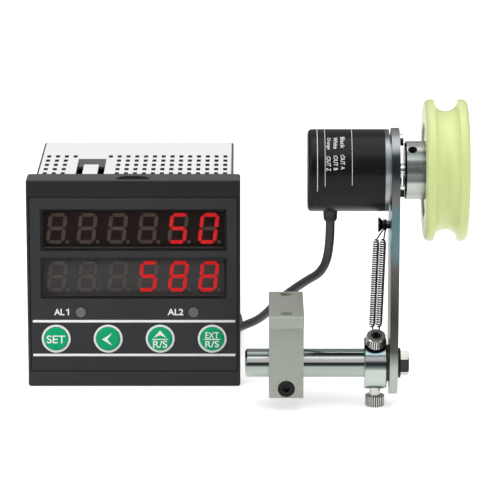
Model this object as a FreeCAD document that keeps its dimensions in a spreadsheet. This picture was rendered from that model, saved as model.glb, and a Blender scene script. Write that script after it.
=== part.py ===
# Cable length counter: a panel indicator and a sprung measuring-wheel head joined by one cable.
# Frame: X to the right of the indicator's face, Y to its back, Z up, floor at Z = 0.
# The origin is the middle of the bezel's bottom face, which the indicator stands on.
import FreeCAD, Part
import math
import os
import types

import Sketcher

Vec = FreeCAD.Vector
doc = FreeCAD.newDocument("CableLengthCounter")
sheet = doc.addObject("Spreadsheet::Sheet", "Sizes")

sizes = {
    # indicator: bezel and front
    "faceBorder": 1.3,
    "faceAbove": 8.1,
    "bezelDepth": 12.0,
    "bezelCorner": 1.2,
    "bezelEdge": 0.6,
    "frontPlate": 2.2,
    "bumpWidth": 16.0,
    "bumpHeight": 1.6,
    "bumpDepth": 4.0,
    "bumpSetback": 0.4,
    "bumpRoot": 0.2,
    "overlayBorder": 5.0,
    "overlayHeight": 80.8,
    "overlayBottom": 7.1,
    "overlayThick": 0.9,
    "overlaySunk": 0.3,
    "fitGap": 0.15,
    # windows, displays and lamps
    "windowWidth": 83.4,
    "windowHeight": 18.8,
    "windowLedge": 1.0,
    "windowDrop": 5.7,
    "windowSpacing": 3.4,
    "moduleSideGap": 0.8,
    "moduleEndGap": 0.4,
    "moduleDepth": 6.0,
    "digitEnd": 6.775,
    "digitShift": 0.4,
    "digitMargin": 1.9,
    "digitWidth": 8.4,
    "digitSlant": 7.0,
    "strokeWidth": 1.7,
    "strokeGap": 0.22,
    "segmentThick": 0.3,
    "segmentGap": 0.1,
    "pointDia": 1.7,
    "lampDia": 4.6,
    "lampLeft": 24.0,
    "lampRight": 26.8,
    "lampDrop": 6.4,
    "lampProud": 0.5,
    # keys
    "keyEnd": 11.45,
    "keyLift": 15.3,
    "keyDia": 10.8,
    "keyProud": 1.5,
    "keyRound": 1.1,
    "keyRingDia": 13.0,
    "keyRingThick": 0.35,
    "keyFlangeDia": 12.6,
    "keyFlangeThick": 0.8,
    "keyStemDia": 3.2,
    "keyTravel": 0.6,
    "keySeat": 1.0,
    "keyBoreSpare": 0.4,
    "switchSide": 6.0,
    "switchDepth": 3.4,
    # indicator: housing and inside
    "housingStep": 3.0,
    "housingEnd": 88.0,
    "housingLap": 2.0,
    "housingWall": 2.2,
    "housingCorner": 1.5,
    "ventPitch": 4.1,
    "ventWidth": 1.9,
    "ventLength": 5.0,
    "ventRowPitch": 9.1,
    "ventStart": 12.0,
    "ventSide": 3.5,
    "ventRows": 5,
    "ventLeftColumns": 3,
    "latchColumns": 5,
    "latchWidth": 12.8,
    "latchTongue": 6.8,
    "latchSlotLength": 21.4,
    "latchPocketLength": 12.0,
    "latchPocketDepth": 1.3,
    "boardThick": 1.6,
    "boardInset": 0.4,
    "boardSpread": 28.0,
    "mainBoardMargin": 3.8,
    "mainBoardLength": 74.0,
    "transformerWidth": 26.0,
    "transformerHeight": 34.0,
    "transformerLength": 30.0,
    "transformerBack": 20.0,
    "transformerLift": 6.0,
    "capacitorDia": 10.0,
    "capacitorLength": 14.0,
    "capacitorFirst": 18.0,
    "capacitorPitch": 16.0,
    "capacitorRise": 20.0,
    "capacitorStep": 2.0,
    "relayDepth": 14.0,
    "relayLength": 20.0,
    "relayHeight": 15.0,
    "relayDrop": 28.0,
    "relayPitch": 22.0,
    "chipSide": 14.0,
    "chipThick": 2.2,
    "terminalWidth": 76.0,
    "terminalHeight": 20.0,
    "terminalDepth": 12.0,
    "terminalCentre": 60.0,
    "terminalPitch": 7.4,
    "terminalCount": 10,
    "terminalSlotWidth": 5.8,
    "terminalSlotHeight": 12.0,
    "terminalSlotDepth": 6.0,
    "terminalScrewDia": 5.2,
    "terminalScrewHead": 2.2,
    # wheel head: places
    "plateX": 115.5,
    "headY": 36.0,
    "screwReach": 19.6,
    "armReach": 87.4,
    # arm plate and pivot
    "plateThick": 3.6,
    "plateTopMargin": 0.6,
    "plateFootRadius": 13.7,
    "rodDia": 12.7,
    "rodLength": 62.5,
    "rodChamfer": 1.0,
    "spigotDia": 9.2,
    "spigotProud": 0.2,
    "bushOuter": 11.8,
    "bushFlangeDia": 16.4,
    "bushFlange": 1.0,
    "runGap": 0.04,
    "endGap": 0.1,
    "boltDia": 7.0,
    "boltLength": 20.0,
    "boltFlats": 11.0,
    "boltHead": 4.0,
    "washerDia": 13.2,
    "washerThick": 1.4,
    # collar, its screws and the springs
    "collarDia": 22.8,
    "collarWidth": 9.9,
    "collarChamfer": 0.5,
    "screwDia": 5.0,
    "screwHeadDia": 8.5,
    "screwHead": 5.0,
    "screwSocket": 4.0,
    "screwEdge": 0.35,
    "seatRoom": 1.0,
    "collarScrewX": 7.8,
    "postTilt": 30.0,
    "postSeat": 10.9,
    "springDia": 2.8,
    "springWire": 0.6,
    "springSpacing": 3.0,
    "springTopX": 6.2,
    "springDrop": 6.4,
    "springFoot": 4.4,
    "springBack": 1.6,
    "hookX": 3.6,
    "hookStep": 0.8,
    "hookGap": 0.12,
    "loopInset": 0.65,
    "wireGap": 0.03,
    "loopRoom": 0.1,
    "postGap": 0.05,
    "postSpare": 0.15,
    "hookSpread": 14.0,
    "anchorClear": 6.4,
    "anchorDia": 3.6,
    "anchorHeadDia": 6.4,
    "anchorReach": 5.2,
    "anchorHeadEdge": 0.6,
    # encoder
    "caseDia": 36.0,
    "caseLength": 33.6,
    "caseWall": 1.6,
    "caseEdge": 2.0,
    "flangeThick": 1.9,
    "stepInset": 2.5,
    "stepThick": 0.9,
    "pilotDia": 18.0,
    "pilotProud": 0.3,
    "spigotLength": 5.0,
    "spigotWall": 2.4,
    "flangeInset": 1.5,
    "bearingLand": 1.5,
    "bearingFront": 1.2,
    "bearingRear": 1.0,
    "flangeScrewInset": 2.0,
    "flangeScrewDia": 3.0,
    "flangeScrewHeadDia": 5.0,
    "flangeScrewHead": 1.8,
    "shaftDia": 6.0,
    "shaftTail": 23.0,
    "bearingOuter": 14.0,
    "bearingWidth": 4.0,
    "bearingSpan": 7.0,
    "bearingHouseDia": 20.0,
    "discRim": 3.6,
    "discThick": 0.8,
    "discHubDia": 11.0,
    "discHubWidth": 4.0,
    "discPlace": 19.2,
    "encoderBoardGap": 0.3,
    "encoderBoardPlace": 23.6,
    "sensorSide": 8.0,
    "sensorReach": 6.8,
    "sensorFront": 2.6,
    "sensorLap": 4.0,
    "sensorSlot": 2.0,
    "sensorSlotDepth": 4.8,
    "boardHoleGap": 1.5,
    "glandX": 28.0,
    "glandDia": 6.2,
    "glandLength": 4.6,
    "glandCollarDia": 7.0,
    "glandCollarThick": 0.6,
    "glandCollarDrop": 0.6,
    "caseScrewDia": 2.6,
    "caseScrewX": 7.6,
    "caseScrewTurn": 10.5,
    "caseScrewLength": 3.6,
    "caseScrewSunk": 0.5,
    # measuring wheel
    "bossDia": 25.5,
    "bossStart": 4.1,
    "wheelStart": 12.6,
    "wheelWidth": 18.8,
    "wheelDia": 62.0,
    "coreDia": 41.0,
    "coreInset": 0.8,
    "coreDishDia": 33.0,
    "coreDishDepth": 5.5,
    "coreEdge": 0.5,
    "bossEdge": 0.8,
    "hubWall": 4.0,
    "hubSunk": 1.0,
    "shaftShort": 2.0,
    "grooveRadius": 5.4,
    "grooveLift": 0.3,
    "tyreEdge": 2.4,
    "grubDia": 4.0,
    "grubSunk": 1.6,
    "grubTilt": 33.0,
    "grubX": 7.4,
    "grubSocketDepth": 2.0,
    # clamp block
    "blockX": 47.2,
    "blockWidth": 15.2,
    "blockRise": 27.0,
    "blockDrop": 13.2,
    "blockDepth": 22.0,
    "blockFlangeDepth": 44.0,
    "blockFlange": 5.5,
    "blockEdge": 0.4,
    "blockSlit": 1.6,
    "earHoleDia": 5.5,
    "earHoleSpacing": 33.5,
    "clampScrewDia": 4.0,
    "clampScrewHeadDia": 7.0,
    "clampScrewHead": 4.0,
    "clampScrewLift": 4.3,
    "clampBoreDia": 7.6,
    "clampBoreDepth": 4.6,
    "clampBoreEnd": 3.0,
    "clampTipSpare": 2.0,
    "clampSocketDepth": 2.0,
    "slitLap": 1.0,
    # cable
    "cableDia": 4.0,
    "coilRadius": 22.5,
    "coilThick": 12.4,
    "coilBack": 132.0,
    "coilX": 18.5,
    "tieWidth": 4.0,
    "tieThick": 0.6,
    "tieGap": 0.1,
    "bootDia": 5.4,
    "bootLength": 10.0,
    "wireDia": 1.2,
    "wireSpread": 1.25,
    "wireStart": 0.35,
    "wireBend": 5.0,
    "wireBack": 1.8,
    "wireLow": 1.5,
    "wireSeat": 1.2,
    "wireLift": 2.5,
}

for row, (alias, number) in enumerate(sizes.items(), start=1):
    sheet.set(f"A{row}", alias)
    sheet.set(f"B{row}", str(number))
    sheet.setAlias(f"B{row}", alias)
doc.recompute()


class Length:
    # A number that also knows the sheet formula it comes from.
    def __init__(self, number, text=None):
        self.number = float(number)
        self.text = text if text is not None else f"({self.number!r})"

    def __add__(self, other):
        other = asLength(other)
        return Length(self.number + other.number, f"({self.text} + {other.text})")

    def __sub__(self, other):
        other = asLength(other)
        return Length(self.number - other.number, f"({self.text} - {other.text})")

    def __mul__(self, other):
        other = asLength(other)
        return Length(self.number * other.number, f"({self.text} * {other.text})")

    def __truediv__(self, other):
        other = asLength(other)
        return Length(self.number / other.number, f"({self.text} / {other.text})")

    def __neg__(self):
        return Length(-self.number, f"(0 - {self.text})")

    def __radd__(self, other):
        return asLength(other) + self

    def __rsub__(self, other):
        return asLength(other) - self

    def __rmul__(self, other):
        return asLength(other) * self

    def __float__(self):
        return self.number


def asLength(item):
    return item if isinstance(item, Length) else Length(item)


def sine(angle):
    angle = asLength(angle)
    return Length(math.sin(math.radians(angle.number)), f"sin({angle.text})")


def cosine(angle):
    angle = asLength(angle)
    return Length(math.cos(math.radians(angle.number)), f"cos({angle.text})")


def squareRoot(item):
    return Length(math.sqrt(item.number), f"sqrt({item.text})")


S = types.SimpleNamespace(**{alias: Length(sheet.get(alias), f"Sizes.{alias}") for alias in sizes})

axisTurns = {
    "Z": (Vec(0, 0, 1), 0),
    "X": (Vec(0, 1, 0), 90),
    "-X": (Vec(0, 1, 0), -90),
    "Y": (Vec(1, 0, 0), -90),
    "-Y": (Vec(1, 0, 0), 90),
    "-Z": (Vec(1, 0, 0), 180),
}
nodes = []


def bind(item, path, length):
    item.setExpression(path, asLength(length).text)


def place(item, x, y, z, axis="Z", turn=None):
    # turn leans an upright piece about X, from straight up towards -Y
    direction, angle = axisTurns[axis]
    if turn is not None:
        direction, angle = Vec(1, 0, 0), float(turn)
    item.Placement = FreeCAD.Placement(Vec(0, 0, 0), FreeCAD.Rotation(direction, angle))
    for name, length in (("x", x), ("y", y), ("z", z)):
        bind(item, f"Placement.Base.{name}", length)


def keep(item, label):
    item.Label = label
    nodes.append(item)
    return item


# ---- loops drawn in a sketch, each point and size tied to the sheet

def pin(sketch, geometry, point, u, v):
    for kind, length in (("DistanceX", u), ("DistanceY", v)):
        rule = Sketcher.Constraint(kind, -1, 1, geometry, point, float(length))
        number = sketch.addConstraint(rule)
        bind(sketch, f"Constraints[{number}]", length)


def outline(*points):
    points = [(asLength(u), asLength(v)) for u, v in points]

    def draw(sketch):
        first = sketch.GeometryCount
        count = len(points)
        for index, (u, v) in enumerate(points):
            nextU, nextV = points[(index + 1) % count]
            start = Vec(u.number, v.number, 0)
            end = Vec(nextU.number, nextV.number, 0)
            sketch.addGeometry(Part.LineSegment(start, end), False)
        for index in range(count):
            follower = first + (index + 1) % count
            sketch.addConstraint(Sketcher.Constraint("Coincident", first + index, 2, follower, 1))
        for index, (u, v) in enumerate(points):
            pin(sketch, first + index, 1, u, v)
    return draw


def rectangle(u, v, width, height):
    left, right = u - width / 2, u + width / 2
    low, high = v - height / 2, v + height / 2
    return outline((left, low), (right, low), (right, high), (left, high))


def circle(u, v, dia):
    u, v, dia = asLength(u), asLength(v), asLength(dia)

    def draw(sketch):
        ring = Part.Circle(Vec(u.number, v.number, 0), Vec(0, 0, 1), dia.number / 2)
        geometry = sketch.addGeometry(ring, False)
        pin(sketch, geometry, 3, u, v)
        number = sketch.addConstraint(Sketcher.Constraint("Diameter", geometry, dia.number))
        bind(sketch, f"Constraints[{number}]", dia)
    return draw


def hexagon(flats):
    corner = flats / 2 / cosine(30)
    return outline(*[(corner * cosine(angle), corner * sine(angle)) for angle in range(0, 360, 60)])


class Piece:
    # One PartDesign body. Planes: XY and YZ features run along +Z and +X from their start,
    # XZ features run along +Y from their start.
    def __init__(self, label, x=0, y=0, z=0, axis="Z", turn=None):
        self.body = doc.addObject("PartDesign::Body", label)
        place(self.body, x, y, z, axis, turn)
        keep(self.body, label)

    def sketch(self, plane, start, loops):
        sketch = self.body.newObject("Sketcher::SketchObject", f"{self.body.Label}_sketch")
        planes = self.body.Origin.OriginFeatures
        origin = next(item for item in planes if item.Role == f"{plane}_Plane")
        sketch.AttachmentSupport = (origin, [""])
        sketch.MapMode = "FlatFace"
        start = asLength(start)
        bind(sketch, "AttachmentOffset.Base.z", -start if plane == "XZ" else start)
        for loop in loops:
            loop(sketch)
        sketch.Visibility = False
        return sketch

    def add(self, plane, start, length, *loops):
        sketch = self.sketch(plane, start, loops)
        pad = self.body.newObject("PartDesign::Pad", f"{self.body.Label}_pad")
        pad.Profile = sketch
        bind(pad, "Length", length)
        pad.Reversed = plane == "XZ"
        return self.settle(pad)

    def cut(self, plane, start, length, *loops):
        before = self.body.Shape.Volume
        sketch = self.sketch(plane, start, loops)
        pocket = self.body.newObject("PartDesign::Pocket", f"{self.body.Label}_pocket")
        pocket.Profile = sketch
        bind(pocket, "Length", length)
        pocket.Reversed = plane != "XZ"
        self.settle(pocket)
        self.checkCut(before, pocket)
        return pocket

    def turn(self, *points):
        # points are (radius, height) about the body's own Z
        sketch = self.sketch("XZ", 0, [outline(*points)])
        revolution = self.body.newObject("PartDesign::Revolution", f"{self.body.Label}_turned")
        revolution.Profile = sketch
        revolution.ReferenceAxis = (sketch, ["V_Axis"])
        revolution.Angle = 360
        return self.settle(revolution)

    def groove(self, *loops):
        before = self.body.Shape.Volume
        sketch = self.sketch("XZ", 0, loops)
        groove = self.body.newObject("PartDesign::Groove", f"{self.body.Label}_groove")
        groove.Profile = sketch
        groove.ReferenceAxis = (sketch, ["V_Axis"])
        groove.Angle = 360
        self.settle(groove)
        self.checkCut(before, groove)
        return groove

    def repeat(self, feature, axis, pitch, count):
        # copies along one sketch axis
        sketch = feature.Profile[0]
        pattern = self.body.newObject("PartDesign::LinearPattern", f"{self.body.Label}_row")
        pattern.Originals = [feature]
        pattern.Direction = (sketch, [f"{axis}_Axis"])
        pattern.Mode = "Spacing"
        bind(pattern, "Offset", pitch)
        pattern.Occurrences = int(float(count))
        return self.settle(pattern)

    def polar(self, feature, count):
        sketch = feature.Profile[0]
        pattern = self.body.newObject("PartDesign::PolarPattern", f"{self.body.Label}_ring")
        pattern.Originals = [feature]
        pattern.Axis = (sketch, ["N_Axis"])
        pattern.Angle = 360
        pattern.Occurrences = int(count)
        return self.settle(pattern)

    def dress(self, kind, size, test):
        tip = self.body.Tip
        edges = [f"Edge{n}" for n, edge in enumerate(tip.Shape.Edges, start=1) if test(edge)]
        if not edges:
            raise RuntimeError(f"{self.body.Label}: no edges for the {kind}")
        feature = self.body.newObject(f"PartDesign::{kind}", f"{self.body.Label}_{kind.lower()}")
        feature.Base = (tip, edges)
        bind(feature, "Radius" if kind == "Fillet" else "Size", size)
        return self.settle(feature)

    def settle(self, feature):
        self.body.Tip = feature
        doc.recompute()
        return feature

    def checkCut(self, before, feature):
        if self.body.Shape.Volume >= before - 1e-6:
            raise RuntimeError(f"{feature.Name} cuts nothing")


# ---- edge tests for fillets and chamfers, in the body's own frame

def near(a, b):
    return abs(a - float(b)) < 1e-3


def straightAlong(axis):
    unit = {"X": Vec(1, 0, 0), "Y": Vec(0, 1, 0), "Z": Vec(0, 0, 1)}[axis]

    def test(edge):
        if edge.Curve.TypeId != "Part::GeomLine":
            return False
        return abs(abs(edge.tangentAt(edge.FirstParameter).dot(unit)) - 1) < 1e-6
    return test


def ringAt(radius, height):
    def test(edge):
        if edge.Curve.TypeId != "Part::GeomCircle":
            return False
        return near(edge.Curve.Radius, radius) and near(edge.Curve.Center.z, height)
    return test


def both(first, second):
    return lambda edge: first(edge) and second(edge)


def either(first, second):
    return lambda edge: first(edge) or second(edge)


def middle(edge):
    return edge.valueAt((edge.FirstParameter + edge.LastParameter) / 2)


def atX(*values):
    return lambda edge: any(near(abs(middle(edge).x), value) for value in values)


def atY(value):
    return lambda edge: near(middle(edge).y, value)


# ---- plain Part solids

def box(name, x, y, z, width, depth, height):
    item = doc.addObject("Part::Box", name)
    for side, length in (("Length", width), ("Width", depth), ("Height", height)):
        bind(item, side, length)
    place(item, x, y, z)
    return item


def rod(name, x, y, z, axis, dia, length, turn=None):
    item = doc.addObject("Part::Cylinder", name)
    bind(item, "Radius", asLength(dia) / 2)
    bind(item, "Height", length)
    place(item, x, y, z, axis, turn)
    return item


def cutAway(name, base, tool):
    item = doc.addObject("Part::Cut", name)
    item.Base = base
    item.Tool = tool
    return item


def fuse(name, items):
    item = doc.addObject("Part::MultiFuse", name)
    item.Shapes = items
    return item


def together(name, items):
    item = doc.addObject("Part::Compound", name)
    item.Links = items
    return item


def shaped(label, shape):
    item = doc.addObject("Part::Feature", label)
    item.Shape = shape
    item.Placement = FreeCAD.Placement()
    return keep(item, label)


# ---- places shared by several pieces

overlayWidth = S.windowWidth + 2 * S.overlayBorder
overlayTop = S.overlayBottom + S.overlayHeight
faceWidth = overlayWidth + 2 * S.faceBorder
faceHeight = overlayTop + S.faceAbove
housingWidth = faceWidth - 2 * S.housingStep
housingHeight = faceHeight - 2 * S.housingStep
insideWidth = housingWidth - 2 * S.housingWall
insideHeight = housingHeight - 2 * S.housingWall
moduleWidth = S.windowWidth - 2 * S.moduleSideGap
moduleHeight = S.windowHeight - 2 * S.moduleEndGap
digitPitch = (moduleWidth - 2 * S.digitEnd) / 5
digitHeight = moduleHeight - 2 * S.digitMargin
upperRow = overlayTop - S.windowDrop - S.windowHeight / 2
lowerRow = upperRow - S.windowHeight - S.windowSpacing
lampHeight = lowerRow - S.windowHeight / 2 - S.lampDrop
keyPitch = (overlayWidth - 2 * S.keyEnd) / 3
keyHeight = S.overlayBottom + S.keyLift
mainBoardHeight = insideHeight - 2 * S.mainBoardMargin
bezelFront = -S.bezelDepth / 2
bezelBack = S.bezelDepth / 2
overlayFront = bezelFront + S.overlaySunk
plateFront = overlayFront + S.overlayThick
plateBack = plateFront + S.frontPlate
segmentFront = plateBack + S.segmentGap
moduleFront = segmentFront + S.segmentThick
boardFront = moduleFront + S.moduleDepth
boardBack = boardFront + S.boardThick
switchFront = boardFront - S.switchDepth
housingStart = bezelBack - S.housingLap
faceCentre = faceHeight / 2
housingTop = faceCentre + housingHeight / 2
plateTopRadius = S.caseDia / 2 + S.plateTopMargin
anchorRise = S.armReach - S.caseDia / 2 - S.anchorClear
stepDia = S.caseDia - 2 * S.stepInset
flangeScrewCircle = stepDia - 2 * S.flangeScrewInset
encoderBoardDia = S.caseDia - 2 * S.caseWall - 2 * S.encoderBoardGap
discDia = encoderBoardDia - 2 * S.discRim
headY = -S.headY
rodZ = S.screwReach
encoderZ = rodZ + S.armReach
plateLeft = S.plateX - S.plateThick / 2
plateRight = S.plateX + S.plateThick / 2
bushLeft = plateLeft - S.bushFlange
shoulderX = bushLeft - S.endGap
collarLeft = shoulderX - S.collarWidth
spigotEnd = plateRight + S.spigotProud
rodLeft = shoulderX - S.rodLength
flangeLeft = plateLeft - S.stepThick - S.flangeThick
caseLeft = flangeLeft - S.caseLength
wheelLeft = S.plateX + S.wheelStart
wheelRight = wheelLeft + S.wheelWidth
coreLeft = wheelLeft + S.coreInset
coreRight = wheelRight - S.coreInset
screwInner = S.caseDia / 2 - S.caseScrewSunk - S.caseScrewLength
blockLeft = S.plateX - S.blockX - S.blockWidth / 2
rowHeights = {"upper": upperRow, "lower": lowerRow}
keyNames = ("set", "shift", "up", "exit")
keyPlaces = {name: keyPitch * (number - 1.5) for number, name in enumerate(keyNames)}
lampPlaces = (-S.lampLeft, S.lampRight)


# ---- indicator: bezel, front and displays

def bezel():
    piece = Piece("meter_bezel")
    depth = S.bezelDepth
    piece.add("XZ", bezelFront, depth, rectangle(0, faceCentre, faceWidth, faceHeight))
    piece.dress("Fillet", S.bezelCorner, both(straightAlong("Y"), atX(faceWidth / 2)))
    piece.dress("Chamfer", S.bezelEdge, both(atY(bezelFront), straightEdge))
    overlayCentre = S.overlayBottom + S.overlayHeight / 2
    seatWidth = overlayWidth + 2 * S.fitGap
    seatHeight = S.overlayHeight + 2 * S.fitGap
    piece.cut("XZ", bezelFront, S.overlaySunk + S.overlayThick,
              rectangle(0, overlayCentre, seatWidth, seatHeight))
    piece.cut("XZ", plateBack, bezelBack - plateBack,
              rectangle(0, faceCentre, housingWidth + 2 * S.fitGap, housingHeight + 2 * S.fitGap))
    ledge = 2 * S.windowLedge
    openings = [rectangle(0, height, S.windowWidth - ledge, S.windowHeight - ledge)
                for height in rowHeights.values()]
    openings += [circle(x, keyHeight, S.keyDia + 2 * S.fitGap) for x in keyPlaces.values()]
    openings += [circle(x, lampHeight, S.lampDia + 2 * S.fitGap) for x in lampPlaces]
    piece.cut("XZ", plateFront, S.frontPlate, *openings)
    half = S.bumpWidth / 2
    root = faceHeight - S.bumpRoot
    crown = faceHeight + S.bumpHeight
    shoulder = faceHeight + S.bumpHeight * 0.7
    piece.add("XZ", bezelFront + S.bezelEdge + S.bumpSetback, S.bumpDepth,
              outline((-half, root), (half, root), (half * 0.75, shoulder), (half * 0.4, crown),
                      (-half * 0.4, crown), (-half * 0.75, shoulder)))


def straightEdge(edge):
    return edge.Curve.TypeId in ("Part::GeomLine", "Part::GeomCircle")


def overlay():
    piece = Piece("front_overlay")
    centre = S.overlayBottom + S.overlayHeight / 2
    piece.add("XZ", overlayFront, S.overlayThick, rectangle(0, centre, overlayWidth, S.overlayHeight))
    openings = [rectangle(0, height, S.windowWidth + 2 * S.fitGap, S.windowHeight + 2 * S.fitGap)
                for height in rowHeights.values()]
    openings += [circle(x, keyHeight, S.keyDia + 2 * S.fitGap) for x in keyPlaces.values()]
    openings += [circle(x, lampHeight, S.lampDia + 2 * S.fitGap) for x in lampPlaces]
    piece.cut("XZ", overlayFront, S.overlayThick, *openings)


def windows():
    for name, height in rowHeights.items():
        pane = box(f"pane_{name}", -S.windowWidth / 2, overlayFront, height - S.windowHeight / 2,
                   S.windowWidth, S.overlayThick, S.windowHeight)
        keep(pane, f"display_window_{name}")


def displayModules():
    for name, height in rowHeights.items():
        block = box(f"module_{name}", -moduleWidth / 2, moduleFront, height - moduleHeight / 2,
                    moduleWidth, S.moduleDepth, moduleHeight)
        keep(block, f"display_module_{name}")


# which bars each figure lights: a top, b upper right, c lower right, d bottom, e lower left,
# f upper left, g middle
figureBars = {"zero": "abcdef", "five": "acdfg", "eight": "abcdefg", "dark": ""}
readings = {"upper": ["dark"] * 4 + ["five", "zero"], "lower": ["dark"] * 3 + ["five", "eight", "eight"]}


def barOutline(half, across, upright):
    # a six-sided bar of half length half, and half thickness across
    points = [(-half, 0), (-half + across, across), (half - across, across),
              (half, 0), (half - across, -across), (-half + across, -across)]
    return [(b, a) if upright else (a, b) for a, b in points]


def segments():
    lit, unlit = [], []
    half = float(S.strokeWidth) / 2
    width = float(S.digitWidth) / 2 - half
    height = float(digitHeight) / 2 - half
    gap = float(S.strokeGap)
    slant = math.tan(math.radians(float(S.digitSlant)))
    flat = width - gap
    tall = height / 2 - gap
    bars = {"a": (0, height, False), "g": (0, 0, False), "d": (0, -height, False),
            "b": (width, height / 2, True), "c": (width, -height / 2, True),
            "f": (-width, height / 2, True), "e": (-width, -height / 2, True)}
    deep = Vec(0, float(S.segmentThick), 0)
    for name, rowHeight in rowHeights.items():
        for place, figure in enumerate(readings[name]):
            centreX = (place - 2.5) * float(digitPitch) - float(S.digitShift)
            centreZ = float(rowHeight)

            def spot(u, v):
                return Vec(centreX + u + v * slant, float(segmentFront), centreZ + v)
            for bar, (u, v, upright) in bars.items():
                points = barOutline(tall if upright else flat, half, upright)
                corners = [spot(u + du, v + dv) for du, dv in points]
                face = Part.Face(Part.makePolygon(corners + corners[:1]))
                group = lit if bar in figureBars[figure] else unlit
                group.append(face.extrude(deep))
            dotX = width + half + float(S.pointDia) * 0.75
            dotPlace = spot(dotX, -height)
            dot = Part.makeCylinder(float(S.pointDia) / 2, deep.y, dotPlace, Vec(0, 1, 0))
            unlit.append(dot)
    shaped("segments_lit", Part.makeCompound(lit))
    shaped("segments_unlit", Part.makeCompound(unlit))


def lamps():
    items = []
    for number, x in enumerate(lampPlaces):
        front = overlayFront - S.lampProud
        items.append(rod(f"lamp{number}", x, front, lampHeight, "Y", S.lampDia, boardFront - front))
    keep(together("lamps", items), "alarm_lamps")


def keys():
    # heights run towards the user from the overlay's face
    back = overlayFront - plateBack
    flangeFront = back - S.endGap
    flangeBack = flangeFront - S.keyFlangeThick
    stemEnd = overlayFront - switchFront - S.keySeat
    radius = S.keyDia / 2
    for name, x in keyPlaces.items():
        piece = Piece(f"key_{name}", x, overlayFront, keyHeight, "-Y")
        piece.turn((0, S.keyProud), (radius, S.keyProud), (radius, flangeFront),
                   (S.keyFlangeDia / 2, flangeFront), (S.keyFlangeDia / 2, flangeBack),
                   (S.keyStemDia / 2, flangeBack), (S.keyStemDia / 2, stemEnd), (0, stemEnd))
        piece.dress("Fillet", S.keyRound, ringAt(radius, S.keyProud))


def keyRings():
    items = []
    for name, x in keyPlaces.items():
        front = overlayFront - S.keyRingThick
        ring = rod(f"ring_{name}", x, front, keyHeight, "Y", S.keyRingDia, S.keyRingThick)
        hole = rod(f"ring_hole_{name}", x, front, keyHeight, "Y", S.keyDia + 2 * S.fitGap,
                   S.keyRingThick)
        items.append(cutAway(f"ring_cut_{name}", ring, hole))
    keep(together("rings", items), "key_rings")


def keySwitches():
    items = []
    boreDepth = S.keySeat + S.keyTravel + S.keyBoreSpare
    for name, x in keyPlaces.items():
        half = S.switchSide / 2
        body = box(f"switch_{name}", x - half, switchFront, keyHeight - half,
                   S.switchSide, S.switchDepth, S.switchSide)
        bore = rod(f"switch_bore_{name}", x, switchFront, keyHeight, "Y",
                   S.keyStemDia + 2 * S.fitGap, boreDepth)
        items.append(cutAway(f"switch_cut_{name}", body, bore))
    keep(together("switches", items), "key_switches")


# ---- indicator: housing, boards and terminals

def housing():
    piece = Piece("meter_housing")
    length = S.housingEnd - housingStart
    piece.add("XZ", housingStart, length, rectangle(0, faceCentre, housingWidth, housingHeight))
    piece.dress("Fillet", S.housingCorner, straightAlong("Y"))
    piece.cut("XZ", housingStart, length - S.housingWall,
              rectangle(0, faceCentre, insideWidth, insideHeight))
    fit = 2 * S.fitGap
    piece.cut("XZ", S.housingEnd - S.housingWall, S.housingWall,
              rectangle(0, S.terminalCentre, S.terminalWidth + fit, S.terminalHeight + fit))
    ventColumns = int(float((housingWidth - 2 * S.ventSide) / S.ventPitch)) + 1
    firstColumn = -S.ventPitch * (ventColumns - 1) / 2
    firstRow = bezelBack + S.ventStart + S.ventLength / 2
    roof = housingTop - S.housingWall
    rightStart = S.ventLeftColumns + S.latchColumns
    rightColumns = ventColumns - rightStart
    for start, count in ((asLength(0), S.ventLeftColumns), (rightStart, rightColumns)):
        column = firstColumn + S.ventPitch * start
        slots = [rectangle(column, firstRow + S.ventRowPitch * row, S.ventWidth, S.ventLength)
                 for row in range(int(float(S.ventRows)))]
        piece.repeat(piece.cut("XY", roof, S.housingWall, *slots), "H", S.ventPitch, count)
    backRow = firstRow + S.ventRowPitch * (S.ventRows - 1)
    firstLatch = firstColumn + S.ventPitch * S.ventLeftColumns
    slots = [rectangle(firstLatch + S.ventPitch * step, backRow, S.ventWidth, S.ventLength)
             for step in (0, S.latchColumns - 1)]
    piece.cut("XY", roof, S.housingWall, *slots)
    latchX = firstLatch + S.ventPitch * (S.latchColumns - 1) / 2
    slotWidth = (S.latchWidth - S.latchTongue) / 2
    latchStart = firstRow - S.ventLength / 2
    slotMiddle = latchStart + S.latchSlotLength / 2
    reach = (S.latchTongue + slotWidth) / 2
    tongueSlots = [rectangle(latchX + reach * way, slotMiddle, slotWidth, S.latchSlotLength)
                   for way in (-1, 1)]
    piece.cut("XY", roof, S.housingWall, *tongueSlots)
    pocketMiddle = latchStart + S.latchSlotLength + S.latchPocketLength / 2
    piece.cut("XY", housingTop - S.latchPocketDepth, S.latchPocketDepth,
              rectangle(latchX, pocketMiddle, S.latchWidth, S.latchPocketLength))


def frontBoard():
    width = insideWidth - 2 * S.boardInset
    height = insideHeight - 2 * S.boardInset
    board = box("board_sheet", -width / 2, boardFront, faceCentre - height / 2,
                width, S.boardThick, height)
    keep(board, "front_board")


def mainBoards():
    low = faceCentre - mainBoardHeight / 2
    for name, middleX in (("power", -S.boardSpread), ("signal", S.boardSpread)):
        board = box(f"{name}_sheet", middleX - S.boardThick / 2, boardBack, low,
                    S.boardThick, S.mainBoardLength, mainBoardHeight)
        keep(board, f"{name}_board")


def transformer():
    left = -S.boardSpread + S.boardThick / 2
    front = boardBack + S.transformerBack
    low = faceCentre - mainBoardHeight / 2 + S.transformerLift
    core = box("core", left, front, low, S.transformerWidth, S.transformerLength,
               S.transformerHeight)
    keep(core, "power_transformer")


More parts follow.
